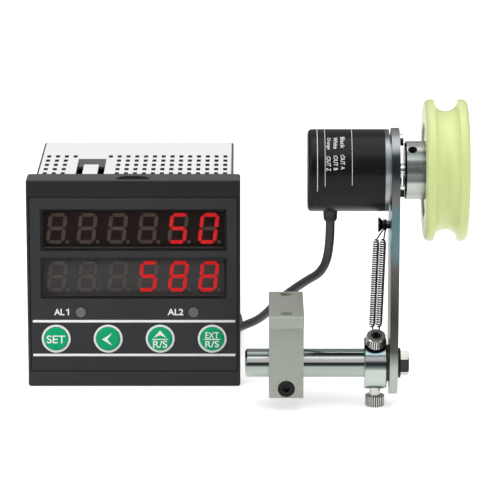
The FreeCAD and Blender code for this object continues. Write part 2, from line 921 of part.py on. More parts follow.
def boardComponents():
    # capacitors on the power board, relays and a chip on the signal board
    powerFace = -S.boardSpread + S.boardThick / 2
    signalFace = S.boardSpread - S.boardThick / 2
    items = []
    for number, steps in enumerate((0, 1, 0)):
        back = boardBack + S.capacitorFirst + S.capacitorPitch * number
        rise = faceCentre + S.capacitorRise + S.capacitorStep * steps
        items.append(rod(f"capacitor{number}", powerFace, back, rise, "X",
                         S.capacitorDia, S.capacitorLength))
    for number in range(2):
        items.append(box(f"relay{number}", signalFace - S.relayDepth, boardBack + 2 * S.relayLength,
                         faceCentre - S.relayDrop + S.relayPitch * number,
                         S.relayDepth, S.relayLength, S.relayHeight))
    items.append(box("chip", signalFace - S.chipThick, boardBack + S.chipSide, faceCentre + S.chipSide,
                     S.chipThick, S.chipSide, S.chipSide))
    keep(together("components", items), "board_components")


def terminals():
    front = S.housingEnd - S.housingWall
    back = front + S.terminalDepth
    firstX = -S.terminalPitch * (S.terminalCount - 1) / 2
    piece = Piece("terminal_block")
    piece.add("XZ", front, S.terminalDepth,
              rectangle(0, S.terminalCentre, S.terminalWidth, S.terminalHeight))
    slot = piece.cut("XZ", back - S.terminalSlotDepth, S.terminalSlotDepth,
                     rectangle(firstX, S.terminalCentre, S.terminalSlotWidth, S.terminalSlotHeight))
    piece.repeat(slot, "H", S.terminalPitch, S.terminalCount)
    items = []
    for number in range(int(float(S.terminalCount))):
        x = firstX + S.terminalPitch * number
        items.append(rod(f"terminal_screw{number}", x, back - S.terminalSlotDepth, S.terminalCentre,
                         "Y", S.terminalScrewDia, S.terminalScrewHead))
    keep(together("terminal_heads", items), "terminal_screws")


# ---- wheel head: plate, pivot and collar

def armPlate():
    piece = Piece("arm_plate", S.plateX, headY, rodZ)
    start = -S.plateThick / 2
    top, foot, reach = plateTopRadius, S.plateFootRadius, S.armReach
    lean = (top - foot) / reach
    level = squareRoot(1 - lean * lean)
    piece.add("YZ", start, S.plateThick, circle(0, 0, foot * 2))
    piece.add("YZ", start, S.plateThick, circle(0, reach, top * 2))
    piece.add("YZ", start, S.plateThick,
              outline((foot * level, -foot * lean), (top * level, reach - top * lean),
                      (-top * level, reach - top * lean), (-foot * level, -foot * lean)))
    piece.cut("YZ", start, S.plateThick, circle(0, 0, S.bushOuter),
              circle(0, reach, S.pilotDia + S.fitGap), circle(0, anchorRise, S.anchorDia))
    radius = flangeScrewCircle / 2
    holes = [circle(radius * cosine(angle), reach + radius * sine(angle), S.flangeScrewDia + 2 * S.fitGap)
             for angle in (90, 210, 330)]
    piece.cut("YZ", start, S.plateThick, *holes)


def pivotRod():
    piece = Piece("pivot_rod", rodLeft, headY, rodZ, "X")
    length = S.rodLength
    end = spigotEnd - rodLeft
    boreStart = end - S.boltLength + S.washerThick
    radius = S.rodDia / 2
    chamfer = S.rodChamfer
    piece.turn((0, 0), (radius - chamfer, 0), (radius, chamfer), (radius, length),
               (S.spigotDia / 2, length), (S.spigotDia / 2, end), (S.boltDia / 2, end),
               (S.boltDia / 2, boreStart), (0, boreStart))


def pivotBush():
    piece = Piece("pivot_bush", bushLeft, headY, rodZ, "X")
    bore = S.spigotDia / 2 + S.runGap
    length = S.bushFlange + S.plateThick
    piece.turn((bore, 0), (S.bushFlangeDia / 2, 0), (S.bushFlangeDia / 2, S.bushFlange),
               (S.bushOuter / 2, S.bushFlange), (S.bushOuter / 2, length), (bore, length))


def pivotBolt():
    washer = Piece("pivot_washer", spigotEnd, headY, rodZ, "X")
    washer.turn((S.boltDia / 2, 0), (S.washerDia / 2, 0), (S.washerDia / 2, S.washerThick),
                (S.boltDia / 2, S.washerThick))
    headStart = spigotEnd + S.washerThick
    shankStart = headStart - S.boltLength
    bolt = Piece("pivot_bolt", shankStart, headY, rodZ)
    bolt.add("YZ", 0, S.boltLength, circle(0, 0, S.boltDia))
    bolt.add("YZ", S.boltLength, S.boltHead, hexagon(S.boltFlats))


def collar():
    piece = Piece("clamp_collar", collarLeft, headY, rodZ, "X")
    radius = S.collarDia / 2
    chamfer = S.collarChamfer
    width = S.collarWidth
    piece.turn((S.rodDia / 2, 0), (radius - chamfer, 0), (radius, chamfer), (radius, width - chamfer),
               (radius - chamfer, width), (S.rodDia / 2, width))
    screwX = S.plateX - S.collarScrewX
    seatDia = S.screwHeadDia + 2 * S.seatRoom
    screwTool = rod("collar_screw_hole", screwX, headY, rodZ, "-Z", S.screwDia, radius)
    postTool = rod("post_screw_hole", screwX, headY, rodZ, "Z", S.screwDia, radius, S.postTilt)
    seatTool = rod("post_seat", screwX, headY, rodZ, "Z", seatDia, radius, S.postTilt)
    core = rod("collar_core", collarLeft, headY, rodZ, "X", S.postSeat * 2, width)
    pocket = cutAway("post_seat_ring", seatTool, core)
    tools = fuse("collar_tools", [screwTool, postTool, pocket])
    nodes.remove(piece.body)
    piece.body.Label = "collar_blank"
    keep(cutAway("collar_cut", piece.body, tools), "clamp_collar")


def capScrew(label, seat, reachIn, turn=None, axis="-Z"):
    # a socket cap screw standing off the rod's axis: seat is the head's underside radius
    piece = Piece(label, S.plateX - S.collarScrewX, headY, rodZ, axis, turn)
    end = seat + S.screwHead
    socket = end - S.screwHead * 0.5
    shank, head = S.screwDia / 2, S.screwHeadDia / 2
    piece.turn((0, reachIn), (shank, reachIn), (shank, seat), (head, seat), (head, end), (0, end))
    piece.dress("Chamfer", S.screwEdge, ringAt(head, end))
    piece.cut("XY", socket, S.screwHead * 0.5, hexagon(S.screwSocket))


def springs():
    # two extension springs side by side, as tubes with a loop of wire at each end
    wire = float(S.springWire) / 2
    radius = float(S.springDia) / 2
    tilt = math.radians(float(S.postTilt))
    postWay = Vec(0, -math.sin(tilt), math.cos(tilt))
    rearWay = Vec(0, math.cos(tilt), math.sin(tilt))
    axisPoint = Vec(float(S.plateX), float(headY), float(rodZ))
    anchorTop = float(anchorRise)
    bodyTop = anchorTop - float(S.springDrop)
    bodyFoot = float(postHeadSeat + S.springFoot)
    upperLoop = float(S.screwHeadDia / 2 - S.loopInset)
    highLoop = float(S.anchorDia / 2 + S.hookGap) + wire
    wireStep = 2 * wire + float(S.wireGap)
    for number, way in enumerate((-1, 1)):
        shift = way * float(S.springSpacing) / 2
        topX = -float(S.springTopX) + shift
        footX = -float(S.collarScrewX) + shift
        top = axisPoint + Vec(topX, 0, bodyTop)
        foot = axisPoint + Vec(footX, -float(S.springBack), bodyFoot)
        run = foot - top
        tube = Part.makeCylinder(radius, run.Length, top, run)
        tube = tube.cut(Part.makeCylinder(radius - 2 * wire, run.Length, top, run))
        hookX = -float(S.hookX + S.hookStep * (1 - number))
        highCentre = axisPoint + Vec(hookX, 0, anchorTop)
        highRing = Part.makeTorus(highLoop, wire, highCentre, Vec(1, 0, 0))
        ringFoot = highCentre - Vec(0, 0, highLoop)
        # the lower loop is wider, so that its wire passes behind the upper one
        lowLoop = upperLoop + (2 * wire + float(S.loopRoom)) * (1 - number)
        rise = float(S.postSeat + S.wireGap) + wire + wireStep * number
        lowCentre = axisPoint + Vec(-float(S.collarScrewX), 0, 0) + postWay * rise
        lowCentre += rearWay * (lowLoop - wire - float(S.screwDia / 2 + S.postGap))
        lowRing = Part.makeTorus(lowLoop, wire, lowCentre, postWay)
        spread = math.radians(float(S.hookSpread)) * way
        aside = Vec(lowLoop * math.sin(spread), 0, 0)
        ringBack = lowCentre + rearWay * (lowLoop * math.cos(spread)) + aside
        cover = Part.makeCylinder(radius, 2 * wire, top, run)
        floor = Part.makeCylinder(radius, 2 * wire, foot, -run)
        hooks = [strut(top, ringFoot, wire), strut(foot, ringBack, wire)]
        solid = tube.multiFuse([cover, floor, highRing, lowRing] + hooks)
        shaped(f"spring_{('left', 'right')[number]}", solid)


def strut(start, end, radius):
    way = end - start
    return Part.makeCylinder(radius, way.Length, start, way)


def anchorScrew():
    # countersunk head at the free end of a plain shank that the spring hooks hang on
    piece = Piece("spring_anchor_screw", plateRight, headY, rodZ + anchorRise, "-X")
    length = S.plateThick + S.anchorReach
    cone = (S.anchorHeadDia - S.anchorDia) / 2
    shank, head = S.anchorDia / 2, S.anchorHeadDia / 2
    edge = length - S.anchorHeadEdge
    piece.turn((0, 0), (shank, 0), (shank, edge - cone), (head, edge), (head, length), (0, length))


# ---- wheel head: encoder

def radialRods(name, inner, outer):
    # three radial rods at the case screws' places, from the inner to the outer radius
    items = []
    for number in range(3):
        turn = 90 - S.caseScrewTurn - 120 * number
        item = rod(f"{name}{number}", S.plateX - S.caseScrewX, headY - inner * sine(turn),
                   encoderZ + inner * cosine(turn), "Z", S.caseScrewDia, outer - inner, turn)
        items.append(item)
    return items


def encoderCase():
    piece = Piece("encoder_case", caseLeft, headY, encoderZ, "X")
    radius = S.caseDia / 2
    length = S.caseLength
    wall = S.caseWall
    inside = radius - wall
    piece.turn((0, 0), (radius, 0), (radius, length), (inside, length), (inside, wall), (0, wall))
    piece.dress("Fillet", S.caseEdge, ringAt(radius, 0))
    gland = Piece("cable_gland", S.plateX - S.glandX, headY, encoderZ, "-Z")
    collarTop = radius - wall - S.glandCollarDrop
    inner = collarTop - S.glandCollarThick
    outer = radius + S.glandLength
    gland.turn((0, inner), (S.glandCollarDia / 2, inner), (S.glandCollarDia / 2, collarTop),
               (S.glandDia / 2, collarTop), (S.glandDia / 2, outer), (0, outer))
    glandX = S.plateX - S.glandX
    glandTool = rod("gland_hole", glandX, headY, encoderZ, "-Z", S.glandDia, radius + 1)
    tools = [glandTool] + radialRods("case_screw_hole", screwInner, radius + 1)
    blank = piece.body
    blank.Label = "case_blank"
    nodes.remove(blank)
    keep(cutAway("case_cut", blank, fuse("case_tools", tools)), "encoder_case")


def caseScrews():
    items = radialRods("case_screw", screwInner, S.caseDia / 2 - S.caseScrewSunk)
    keep(together("case_screws", items), "encoder_case_screws")


def encoderFlange():
    # heights run from the spigot inside the case towards the plate
    spigot = S.caseWall + S.spigotLength
    start = flangeLeft - spigot
    piece = Piece("encoder_flange", start, headY, encoderZ, "X")
    seatFront = plateRight - start
    frontBearing = seatFront - S.bearingFront - S.bearingWidth
    rearBearing = frontBearing - S.bearingSpan - S.bearingWidth
    ringStart = spigot
    ringEnd = ringStart + S.flangeThick
    stepEnd = ringEnd + S.stepThick
    pilotEnd = stepEnd + S.plateThick + S.pilotProud
    bore = S.bearingOuter / 2
    rib = bore - S.bearingLand
    spigotRadius = S.caseDia / 2 - S.caseWall - S.fitGap
    houseRadius = S.bearingHouseDia / 2
    houseStart = rearBearing - S.bearingRear
    webStart = ringStart - S.flangeInset
    skirtStart = ringStart - S.spigotLength
    skirtInside = spigotRadius - S.spigotWall
    piece.turn((bore, houseStart), (houseRadius, houseStart), (houseRadius, webStart),
               (skirtInside, webStart), (skirtInside, skirtStart), (spigotRadius, skirtStart),
               (spigotRadius, ringStart), (S.caseDia / 2, ringStart),
               (S.caseDia / 2, ringEnd), (stepDia / 2, ringEnd), (stepDia / 2, stepEnd),
               (S.pilotDia / 2, stepEnd), (S.pilotDia / 2, pilotEnd), (bore, pilotEnd),
               (bore, frontBearing), (rib, frontBearing), (rib, rearBearing + S.bearingWidth),
               (bore, rearBearing + S.bearingWidth))
    radius = flangeScrewCircle / 2
    hole = piece.cut("XY", webStart, S.flangeThick + S.stepThick + S.flangeInset,
                     circle(-radius, 0, S.flangeScrewDia))
    piece.polar(hole, 3)
    nodes.remove(piece.body)
    piece.body.Label = "flange_blank"
    taps = fuse("flange_taps", radialRods("flange_screw_tap", screwInner, S.caseDia / 2))
    keep(cutAway("flange_cut", piece.body, taps), "encoder_flange")
    items = []
    for number in range(2):
        at = start + (rearBearing, frontBearing)[number]
        width = S.bearingWidth
        bore = S.shaftDia + 2 * S.runGap
        outer = rod(f"race{number}", at, headY, encoderZ, "X", S.bearingOuter, width)
        inner = rod(f"race_bore{number}", at, headY, encoderZ, "X", bore, width)
        items.append(cutAway(f"bearing{number}", outer, inner))
    keep(together("bearings", items), "encoder_bearings")


def flangeScrews():
    # pan head screws through the plate into the encoder flange
    items = []
    radius = float(flangeScrewCircle) / 2
    length = S.plateThick + S.stepThick + S.flangeThick
    for number in range(3):
        turn = math.radians(120 * number)
        y = headY - radius * math.sin(turn)
        z = encoderZ + radius * math.cos(turn)
        shank = rod(f"pan_shank{number}", plateRight - length, y, z, "X", S.flangeScrewDia, length)
        head = rod(f"pan_head{number}", plateRight, y, z, "X", S.flangeScrewHeadDia,
                   S.flangeScrewHead)
        items.append(fuse(f"pan_screw{number}", [shank, head]))
    keep(together("pan_screws", items), "flange_screws")


def encoderInside():
    shaftStart = flangeLeft - S.shaftTail
    shaftEnd = coreRight - S.shaftShort
    shaft = rod("shaft_bar", shaftStart, headY, encoderZ, "X", S.shaftDia, shaftEnd - shaftStart)
    keep(shaft, "encoder_shaft")
    discStart = S.plateX - S.discPlace - S.discHubWidth / 2
    disc = Piece("code_disc", discStart, headY, encoderZ, "X")
    bore, hub, rim = S.shaftDia / 2, S.discHubDia / 2, discDia / 2
    low = (S.discHubWidth - S.discThick) / 2
    high = low + S.discThick
    disc.turn((bore, 0), (hub, 0), (hub, low), (rim, low), (rim, high), (hub, high),
              (hub, S.discHubWidth), (bore, S.discHubWidth))
    boardX = S.plateX - S.encoderBoardPlace
    board = rod("disc_board", boardX, headY, encoderZ, "X", encoderBoardDia, S.boardThick)
    holeDia = S.shaftDia + 2 * S.boardHoleGap
    hole = rod("disc_board_hole", boardX, headY, encoderZ, "X", holeDia, S.boardThick)
    keep(cutAway("disc_board_cut", board, hole), "encoder_board")
    sensorStart = boardX + S.boardThick
    sensorEnd = S.plateX - S.discPlace + S.sensorFront
    sensorLow = encoderZ + discDia / 2 - S.sensorLap
    half = S.sensorSide / 2
    block = box("sensor_block", sensorStart, headY - half, sensorLow, sensorEnd - sensorStart,
                S.sensorSide, S.sensorReach)
    slot = box("sensor_slot", S.plateX - S.discPlace - S.sensorSlot / 2, headY - half, sensorLow,
               S.sensorSlot, S.sensorSide, S.sensorSlotDepth)
    keep(cutAway("sensor_cut", block, slot), "optical_sensor")


# ---- measuring wheel

def wheel():
    start = S.plateX + S.bossStart
    hub = Piece("wheel_hub", start, headY, encoderZ, "X")
    bossEnd = coreLeft - start
    coreEnd = coreRight - start
    dish = coreEnd - S.coreDishDepth
    bore, boss, core = S.shaftDia / 2, S.bossDia / 2, S.coreDia / 2
    edge = S.coreEdge
    dishRadius = S.coreDishDia / 2
    hubRadius = bore + S.hubWall
    hubEnd = coreEnd - S.hubSunk
    hub.turn((bore, 0), (boss - S.bossEdge, 0), (boss, S.bossEdge), (boss, bossEnd),
             (core - edge, bossEnd), (core, bossEnd + edge), (core, coreEnd - edge),
             (core - edge, coreEnd), (dishRadius, coreEnd), (dishRadius, dish), (hubRadius, dish),
             (hubRadius, hubEnd), (bore, hubEnd))
    nodes.remove(hub.body)
    hub.body.Label = "hub_blank"
    grubX = S.plateX + S.grubX
    hole = rod("grub_hole", grubX, headY, encoderZ, "Z", S.grubDia, boss + 1, S.grubTilt)
    keep(cutAway("hub_cut", hub.body, hole), "wheel_hub")
    grub = Piece("hub_set_screw", grubX, headY, encoderZ, "Z", S.grubTilt)
    top = boss - S.grubSunk
    grub.turn((0, bore), (S.grubDia / 2, bore), (S.grubDia / 2, top), (0, top))
    deep = S.grubSocketDepth
    grub.cut("XY", top - deep, deep, hexagon(S.grubDia / 2))
    tyre = Piece("wheel_tyre", wheelLeft, headY, encoderZ, "X")
    rim = S.wheelDia / 2
    tyre.turn((core, 0), (rim, 0), (rim, S.wheelWidth), (core, S.wheelWidth))
    tyre.groove(circle(rim + S.grooveLift, S.wheelWidth / 2, S.grooveRadius * 2))
    tyre.dress("Fillet", S.tyreEdge, either(ringAt(rim, 0), ringAt(rim, S.wheelWidth)))


# ---- clamp block

def clampBlock():
    piece = Piece("clamp_block", blockLeft, headY, rodZ)
    width = S.blockWidth
    rise, drop = S.blockRise, S.blockDrop
    wide, narrow = S.blockFlangeDepth / 2, S.blockDepth / 2
    under = rise - S.blockFlange
    piece.add("YZ", 0, width, outline((-narrow, -drop), (narrow, -drop), (narrow, under), (wide, under),
                                      (wide, rise), (-wide, rise), (-wide, under), (-narrow, under)))
    piece.dress("Chamfer", S.blockEdge, straightAlong("X"))
    piece.cut("YZ", 0, width, circle(0, 0, S.rodDia + 2 * S.runGap))
    piece.cut("XY", -drop, drop - S.rodDia / 2 + S.slitLap, rectangle(width / 2, 0, width, S.blockSlit))
    ears = [circle(width / 2, S.earHoleSpacing / 2 * way, S.earHoleDia) for way in (-1, 1)]
    piece.cut("XY", under, S.blockFlange, *ears)
    screwZ = -drop + S.clampScrewLift
    piece.cut("XZ", -narrow, S.clampBoreDepth, circle(width / 2, screwZ, S.clampBoreDia))
    piece.cut("XZ", -narrow, S.blockDepth - S.clampBoreEnd, circle(width / 2, screwZ, S.clampScrewDia))
    seatY = headY - narrow + S.clampBoreDepth
    screw = Piece("clamp_screw", blockLeft + width / 2, seatY, rodZ + screwZ, "-Y")
    tip = S.clampBoreDepth + S.clampBoreEnd + S.clampTipSpare - S.blockDepth
    head = S.clampScrewHead
    shank, rim = S.clampScrewDia / 2, S.clampScrewHeadDia / 2
    screw.turn((0, tip), (shank, tip), (shank, 0), (rim, 0), (rim, head), (0, head))
    screw.cut("XY", head - S.clampSocketDepth, S.clampSocketDepth, hexagon(S.clampScrewDia * 0.75))


# ---- cable

def roundedPath(points):
    # straight runs joined by tangent arcs, each as large as its two runs allow
    edges, radii, length = [], [], 0.0
    cursor = points[0]
    for before, corner, after in zip(points, points[1:], points[2:]):
        inward = corner - before
        outward = after - corner
        turn = inward.getAngle(outward)
        setback = 0.45 * min(inward.Length, outward.Length)
        radius = setback / math.tan(turn / 2)
        startWay = Vec(inward).normalize()
        endWay = Vec(outward).normalize()
        start = corner - startWay * setback
        end = corner + endWay * setback
        inside = (endWay - startWay).normalize()
        depth = radius / math.cos(turn / 2) - radius
        edges.append(Part.LineSegment(cursor, start).toShape())
        edges.append(Part.Arc(start, corner + inside * depth, end).toShape())
        length += cursor.distanceToPoint(start) + radius * turn
        radii.append(radius)
        cursor = end
    edges.append(Part.LineSegment(cursor, points[-1]).toShape())
    length += cursor.distanceToPoint(points[-1])
    return Part.Wire(edges), radii, length


def tubeAlong(label, points, dia):
    points = [Vec(*point) for point in points]
    path, radii, length = roundedPath(points)
    ring = Part.Circle(points[0], points[1] - points[0], float(dia) / 2)
    tube = path.makePipeShell([Part.Wire([ring.toShape()])], True, False)
    volume = math.pi * float(dia) ** 2 / 4 * length
    print(label, "radii", [round(r, 1) for r in radii], "length", round(length, 1),
          "volume ratio", round(tube.Volume / volume, 4))
    return tube


leadRoute = [(87.5, -36.0, 84.4), (87.5, -36.0, 72.0), (84.5, -29.0, 59.5), (77.0, -11.0, 50.5),
             (66.0, 13.0, 36.0), (57.8, 38.0, 20.0), (48.4, 55.0, 11.6), (47.5, 80.0, 4.0),
             (46.8, 108.5, 2.6), (43.0, 127.75, 3.44)]
tailRoute = [(-8.0, 132.0, 6.9), (-11.4, 119.8, 7.1), (-16.0, 109.3, 13.0), (-20.0, 102.9, 23.6),
             (-20.0, 102.9, 35.5)]


def cable():
    shaped("cable_lead", tubeAlong("cable_lead", leadRoute, S.cableDia))
    coilZ = S.coilThick / 2 + S.tieThick + S.tieGap
    coil = doc.addObject("Part::Torus", "coil_ring")
    bind(coil, "Radius1", S.coilRadius)
    bind(coil, "Radius2", S.coilThick / 2)
    place(coil, S.coilX, S.coilBack, coilZ)
    keep(coil, "cable_coil")
    ties = []
    tieX = S.coilX - S.tieWidth / 2
    inner = S.coilThick + 2 * S.tieGap
    for number, way in enumerate((-1, 1)):
        tieY = S.coilBack + S.coilRadius * way
        band = rod(f"tie_band{number}", tieX, tieY, coilZ, "X", inner + 2 * S.tieThick, S.tieWidth)
        hole = rod(f"tie_hole{number}", tieX, tieY, coilZ, "X", inner, S.tieWidth)
        ties.append(cutAway(f"tie{number}", band, hole))
    keep(together("ties", ties), "coil_ties")
    shaped("cable_tail", tubeAlong("cable_tail", tailRoute, S.cableDia))
    end = Vec(*tailRoute[-1])
    way = end - Vec(*tailRoute[-2])
    boot = Part.makeCylinder(float(S.bootDia) / 2, float(S.bootLength), end, way)
    shaped("cable_boot", boot)
    tip = end + way.normalize() * float(S.bootLength)
    wires = []
    firstX = -float(S.terminalPitch) * (float(S.terminalCount) - 1) / 2
    back = float(S.housingEnd - S.housingWall + S.terminalDepth)
    for number in range(4):
        x = firstX + float(S.terminalPitch) * number
        start = tip + Vec((number - 1.5) * float(S.wireSpread), 0, float(S.wireStart))
        z = float(S.terminalCentre) - float(S.terminalSlotHeight) / 2
        seatY = back - float(S.terminalSlotDepth - S.wireSeat)
        bend = (start.x + (x - start.x) * 0.3, start.y, start.z + float(S.wireBend))
        points = [tuple(start), bend, (x, back + float(S.wireBack), z + float(S.wireLow)),
                  (x, seatY, z + float(S.wireLift))]
        wires.append(tubeAlong(f"wire {number + 1}", points, S.wireDia))
    shaped("sensor_wires", Part.makeCompound(wires))


postHeadSeat = S.postSeat + S.springWire * 2 + S.postSpare

bezel()
overlay()
windows()
displayModules()
segments()
lamps()
keys()
keyRings()
keySwitches()
housing()
frontBoard()
mainBoards()
transformer()
boardComponents()
terminals()
armPlate()
pivotRod()
pivotBush()
pivotBolt()
collar()
capScrew("collar_lock_screw", rodZ - S.screwHead, S.rodDia / 2)
capScrew("spring_post_screw", postHeadSeat, S.rodDia / 2, S.postTilt, "Z")
springs()
anchorScrew()
encoderCase()
caseScrews()
encoderFlange()
flangeScrews()
encoderInside()
wheel()
clampBlock()
cable()

doc.recompute()
for item in doc.Objects:
    if "Invalid" in item.State or "Error" in item.State:
        raise RuntimeError(f"{item.Label} failed: {item.State}")
for item in nodes:
    if item.Shape.isNull() or not item.Shape.isValid() or not item.Shape.Solids:
        raise RuntimeError(f"{item.Label} has no sound shape")
os.makedirs("parts", exist_ok=True)
for item in nodes:
    item.Shape.exportStep(f"parts/{item.Label}.step")
print(len(nodes), "nodes written")
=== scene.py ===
import math

import bmesh
import bpy
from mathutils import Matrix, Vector


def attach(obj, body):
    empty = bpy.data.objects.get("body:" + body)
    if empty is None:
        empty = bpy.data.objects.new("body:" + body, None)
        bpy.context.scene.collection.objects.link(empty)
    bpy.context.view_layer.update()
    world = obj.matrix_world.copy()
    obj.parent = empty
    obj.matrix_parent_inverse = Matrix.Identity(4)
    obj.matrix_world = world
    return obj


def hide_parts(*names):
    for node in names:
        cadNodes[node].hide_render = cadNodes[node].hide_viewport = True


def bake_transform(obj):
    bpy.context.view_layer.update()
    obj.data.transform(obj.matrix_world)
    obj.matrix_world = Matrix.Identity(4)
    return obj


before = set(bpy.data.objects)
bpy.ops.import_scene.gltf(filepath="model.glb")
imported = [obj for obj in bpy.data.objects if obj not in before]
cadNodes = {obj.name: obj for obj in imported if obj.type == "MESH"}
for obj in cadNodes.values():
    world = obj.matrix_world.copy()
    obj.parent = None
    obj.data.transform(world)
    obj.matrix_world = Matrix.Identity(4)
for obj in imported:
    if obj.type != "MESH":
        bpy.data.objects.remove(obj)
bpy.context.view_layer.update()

# Metres throughout: X to the right, Y to the back, Z up, the floor at z = 0.
armAxis, headAxis = (-0.036, 0.0196), (-0.036, 0.107)      # how far back and how high the axes along X lie


def recipe(name, **constants):
    # a new material; what is the same all over it is set on the shader's own sockets
    made = bpy.data.materials.new(name)
    made.use_nodes = True
    tree = made.node_tree
    shader = tree.nodes["Principled BSDF"]
    for socket, number in constants.items():
        shader.inputs[socket.replace("_", " ")].default_value = number
    return made, tree, shader


def step(tree, kind, inputs, **settings):
    node = tree.nodes.new(kind)
    for key, setting in settings.items():
        setattr(node, key, setting)
    for socket, given in inputs.items():
        if isinstance(given, bpy.types.NodeSocket):
            tree.links.new(given, node.inputs[socket])
        else:
            node.inputs[socket].default_value = given
    return node


def place(tree):
    return step(tree, "ShaderNodeTexCoord", {}).outputs["Object"]


def grain(tree, scale, stretch=(1, 1, 1), detail=3.0):
    shifted = step(tree, "ShaderNodeMapping", {"Vector": place(tree), "Scale": stretch})
    speckle = step(tree, "ShaderNodeTexNoise",
                   {"Vector": shifted.outputs["Vector"], "Scale": scale, "Detail": detail})
    return speckle.outputs["Fac"]


def colours(shader, height, stops, socket="Base Color"):
    tree = shader.id_data
    ramp = step(tree, "ShaderNodeValToRGB", {"Fac": height})
    band = ramp.color_ramp
    while len(band.elements) < len(stops):
        band.elements.new(0.5)
    for element, (where, colour) in zip(band.elements, stops):
        element.position = where
        element.color = (*colour, 1)
    tree.links.new(ramp.outputs["Color"], shader.inputs[socket])


def relief(shader, height, depth):
    bump = step(shader.id_data, "ShaderNodeBump", {"Height": height, "Distance": depth})
    shader.id_data.links.new(bump.outputs["Normal"], shader.inputs["Normal"])


def dullness(shader, height, low, high, depth=0.0):
    # roughness that follows a grain, and relief by the same grain where it has a depth
    tree = shader.id_data
    spread = step(tree, "ShaderNodeMapRange", {"Value": height, "To Min": low, "To Max": high})
    tree.links.new(spread.outputs["Result"], shader.inputs["Roughness"])
    if depth:
        relief(shader, height, depth)


def along(tree, axis):
    return step(tree, "ShaderNodeSeparateXYZ", {"Vector": place(tree)}).outputs[axis]


def facing(tree):
    # the way that the surface looks, apart in X, Y and Z
    ways = step(tree, "ShaderNodeTexCoord", {}).outputs["Normal"]
    return step(tree, "ShaderNodeSeparateXYZ", {"Vector": ways}).outputs


def between(tree, number, low, high):
    spread = step(tree, "ShaderNodeMapRange", {"Value": number, "From Min": low, "From Max": high})
    return spread.outputs["Result"]


def sums(tree, operation, first, second=0.0):
    return step(tree, "ShaderNodeMath", {0: first, 1: second}, operation=operation).outputs["Value"]


def varied(tree, number, speckle, share):
    # a number with a share of a grain added
    return sums(tree, "ADD", number, sums(tree, "MULTIPLY", speckle, share))


def fromAxis(tree, axis):
    # how far back and how far up a point lies from an axis along X
    return [sums(tree, "SUBTRACT", along(tree, way), middle) for way, middle in zip("YZ", axis)]


def plain(name, dark, light, fine, low, high, depth, shine=0.5):
    # a moulded or painted finish: broad tone, fine grain in gloss and relief
    made, tree, shader = recipe(name, Specular_IOR_Level=shine)
    broad = grain(tree, 38)
    speckle = grain(tree, fine)
    colours(shader, broad, [(0.3, dark), (0.7, light)])
    dullness(shader, speckle, low, high, depth)
    return made


def metal(name, dark, light, stretch, low, high, depth, share=1.0):
    # a machined finish: fine lines along one way
    made, tree, shader = recipe(name, Metallic=share)
    lines = grain(tree, 900, stretch, 2.0)
    broad = grain(tree, 30)
    colours(shader, broad, [(0.3, dark), (0.7, light)])
    dullness(shader, lines, low, high, depth)
    return made


def bezelPlastic():
    # moulded dark plastic; the faces that look up are painted paler as a highlight, and the front runs
    # darker towards the top
    made, tree, shader = recipe("bezelGrey", Specular_IOR_Level=0.24)
    speckle = grain(tree, 2600)
    drop = sums(tree, "SUBTRACT", 0.3, sums(tree, "MULTIPLY", along(tree, "Z"), 3.0))
    # faces that look up reach the palest stop: a painted highlight
    shade = varied(tree, sums(tree, "ADD", facing(tree)["Z"], drop), grain(tree, 90), 0.05)
    colours(shader, shade, [(0.03, (0.007, 0.007, 0.008)), (0.3, (0.03, 0.03, 0.034)),
                            (0.62, (0.033, 0.033, 0.036)), (0.86, (0.085, 0.08, 0.075))])
    dullness(shader, speckle, 0.42, 0.56, 0.00004)
    return made


def housingWhite():
    # white stove enamel outside; inside it is painted near black as shade, where only the vents let light in
    inside = {"half": 0.0447, "low": 0.0034, "high": 0.09297, "back": 0.0878}
    made, tree, shader = recipe("housingWhite", Specular_IOR_Level=0.2)
    speckle = grain(tree, 1500)
    byWidth = sums(tree, "LESS_THAN", sums(tree, "ABSOLUTE", along(tree, "X")), inside["half"])
    byFloor = sums(tree, "GREATER_THAN", along(tree, "Z"), inside["low"])
    byRoof = sums(tree, "LESS_THAN", along(tree, "Z"), inside["high"])
    byBack = sums(tree, "LESS_THAN", along(tree, "Y"), inside["back"])
    low, high = sums(tree, "MULTIPLY", byWidth, byFloor), sums(tree, "MULTIPLY", byRoof, byBack)
    # where all four tests hold the near black is painted shade inside the hollow
    tone = step(tree, "ShaderNodeMix", {"Factor": sums(tree, "MULTIPLY", low, high),
                                        "A": (0.88, 0.88, 0.87, 1),
                                        "B": (0.004, 0.004, 0.005, 1)}, data_type="RGBA")
    shade = step(tree, "ShaderNodeMix", {"Factor": between(tree, grain(tree, 60), 0.2, 3.0),
                                         "A": tone.outputs["Result"],
                                         "B": (0.78, 0.78, 0.77, 1)}, data_type="RGBA")
    tree.links.new(shade.outputs["Result"], shader.inputs["Base Color"])
    dullness(shader, speckle, 0.4, 0.52, 0.00003)
    return made


def windowPane():
    # clear acrylic with a breath of smoke
    made, tree, shader = recipe("clearPane", Alpha=0.06, Specular_IOR_Level=0.04)
    haze = grain(tree, 60)
    colours(shader, haze, [(0.3, (0.012, 0.01, 0.009)), (0.8, (0.0156, 0.013, 0.0117))])
    dullness(shader, haze, 0.3, 0.4)
    return made


def litRed():
    made, tree, shader = recipe("litRed", Roughness=0.6, Specular_IOR_Level=0.2, Emission_Strength=0.52)
    speckle = grain(tree, 700)
    colours(shader, speckle, [(0.3, (0.3, 0.01, 0.01)), (0.7, (0.4, 0.015, 0.015))])
    colours(shader, speckle, [(0.25, (0.72, 0.006, 0.01)), (0.75, (0.95, 0.015, 0.02))],
            "Emission Color")
    return made


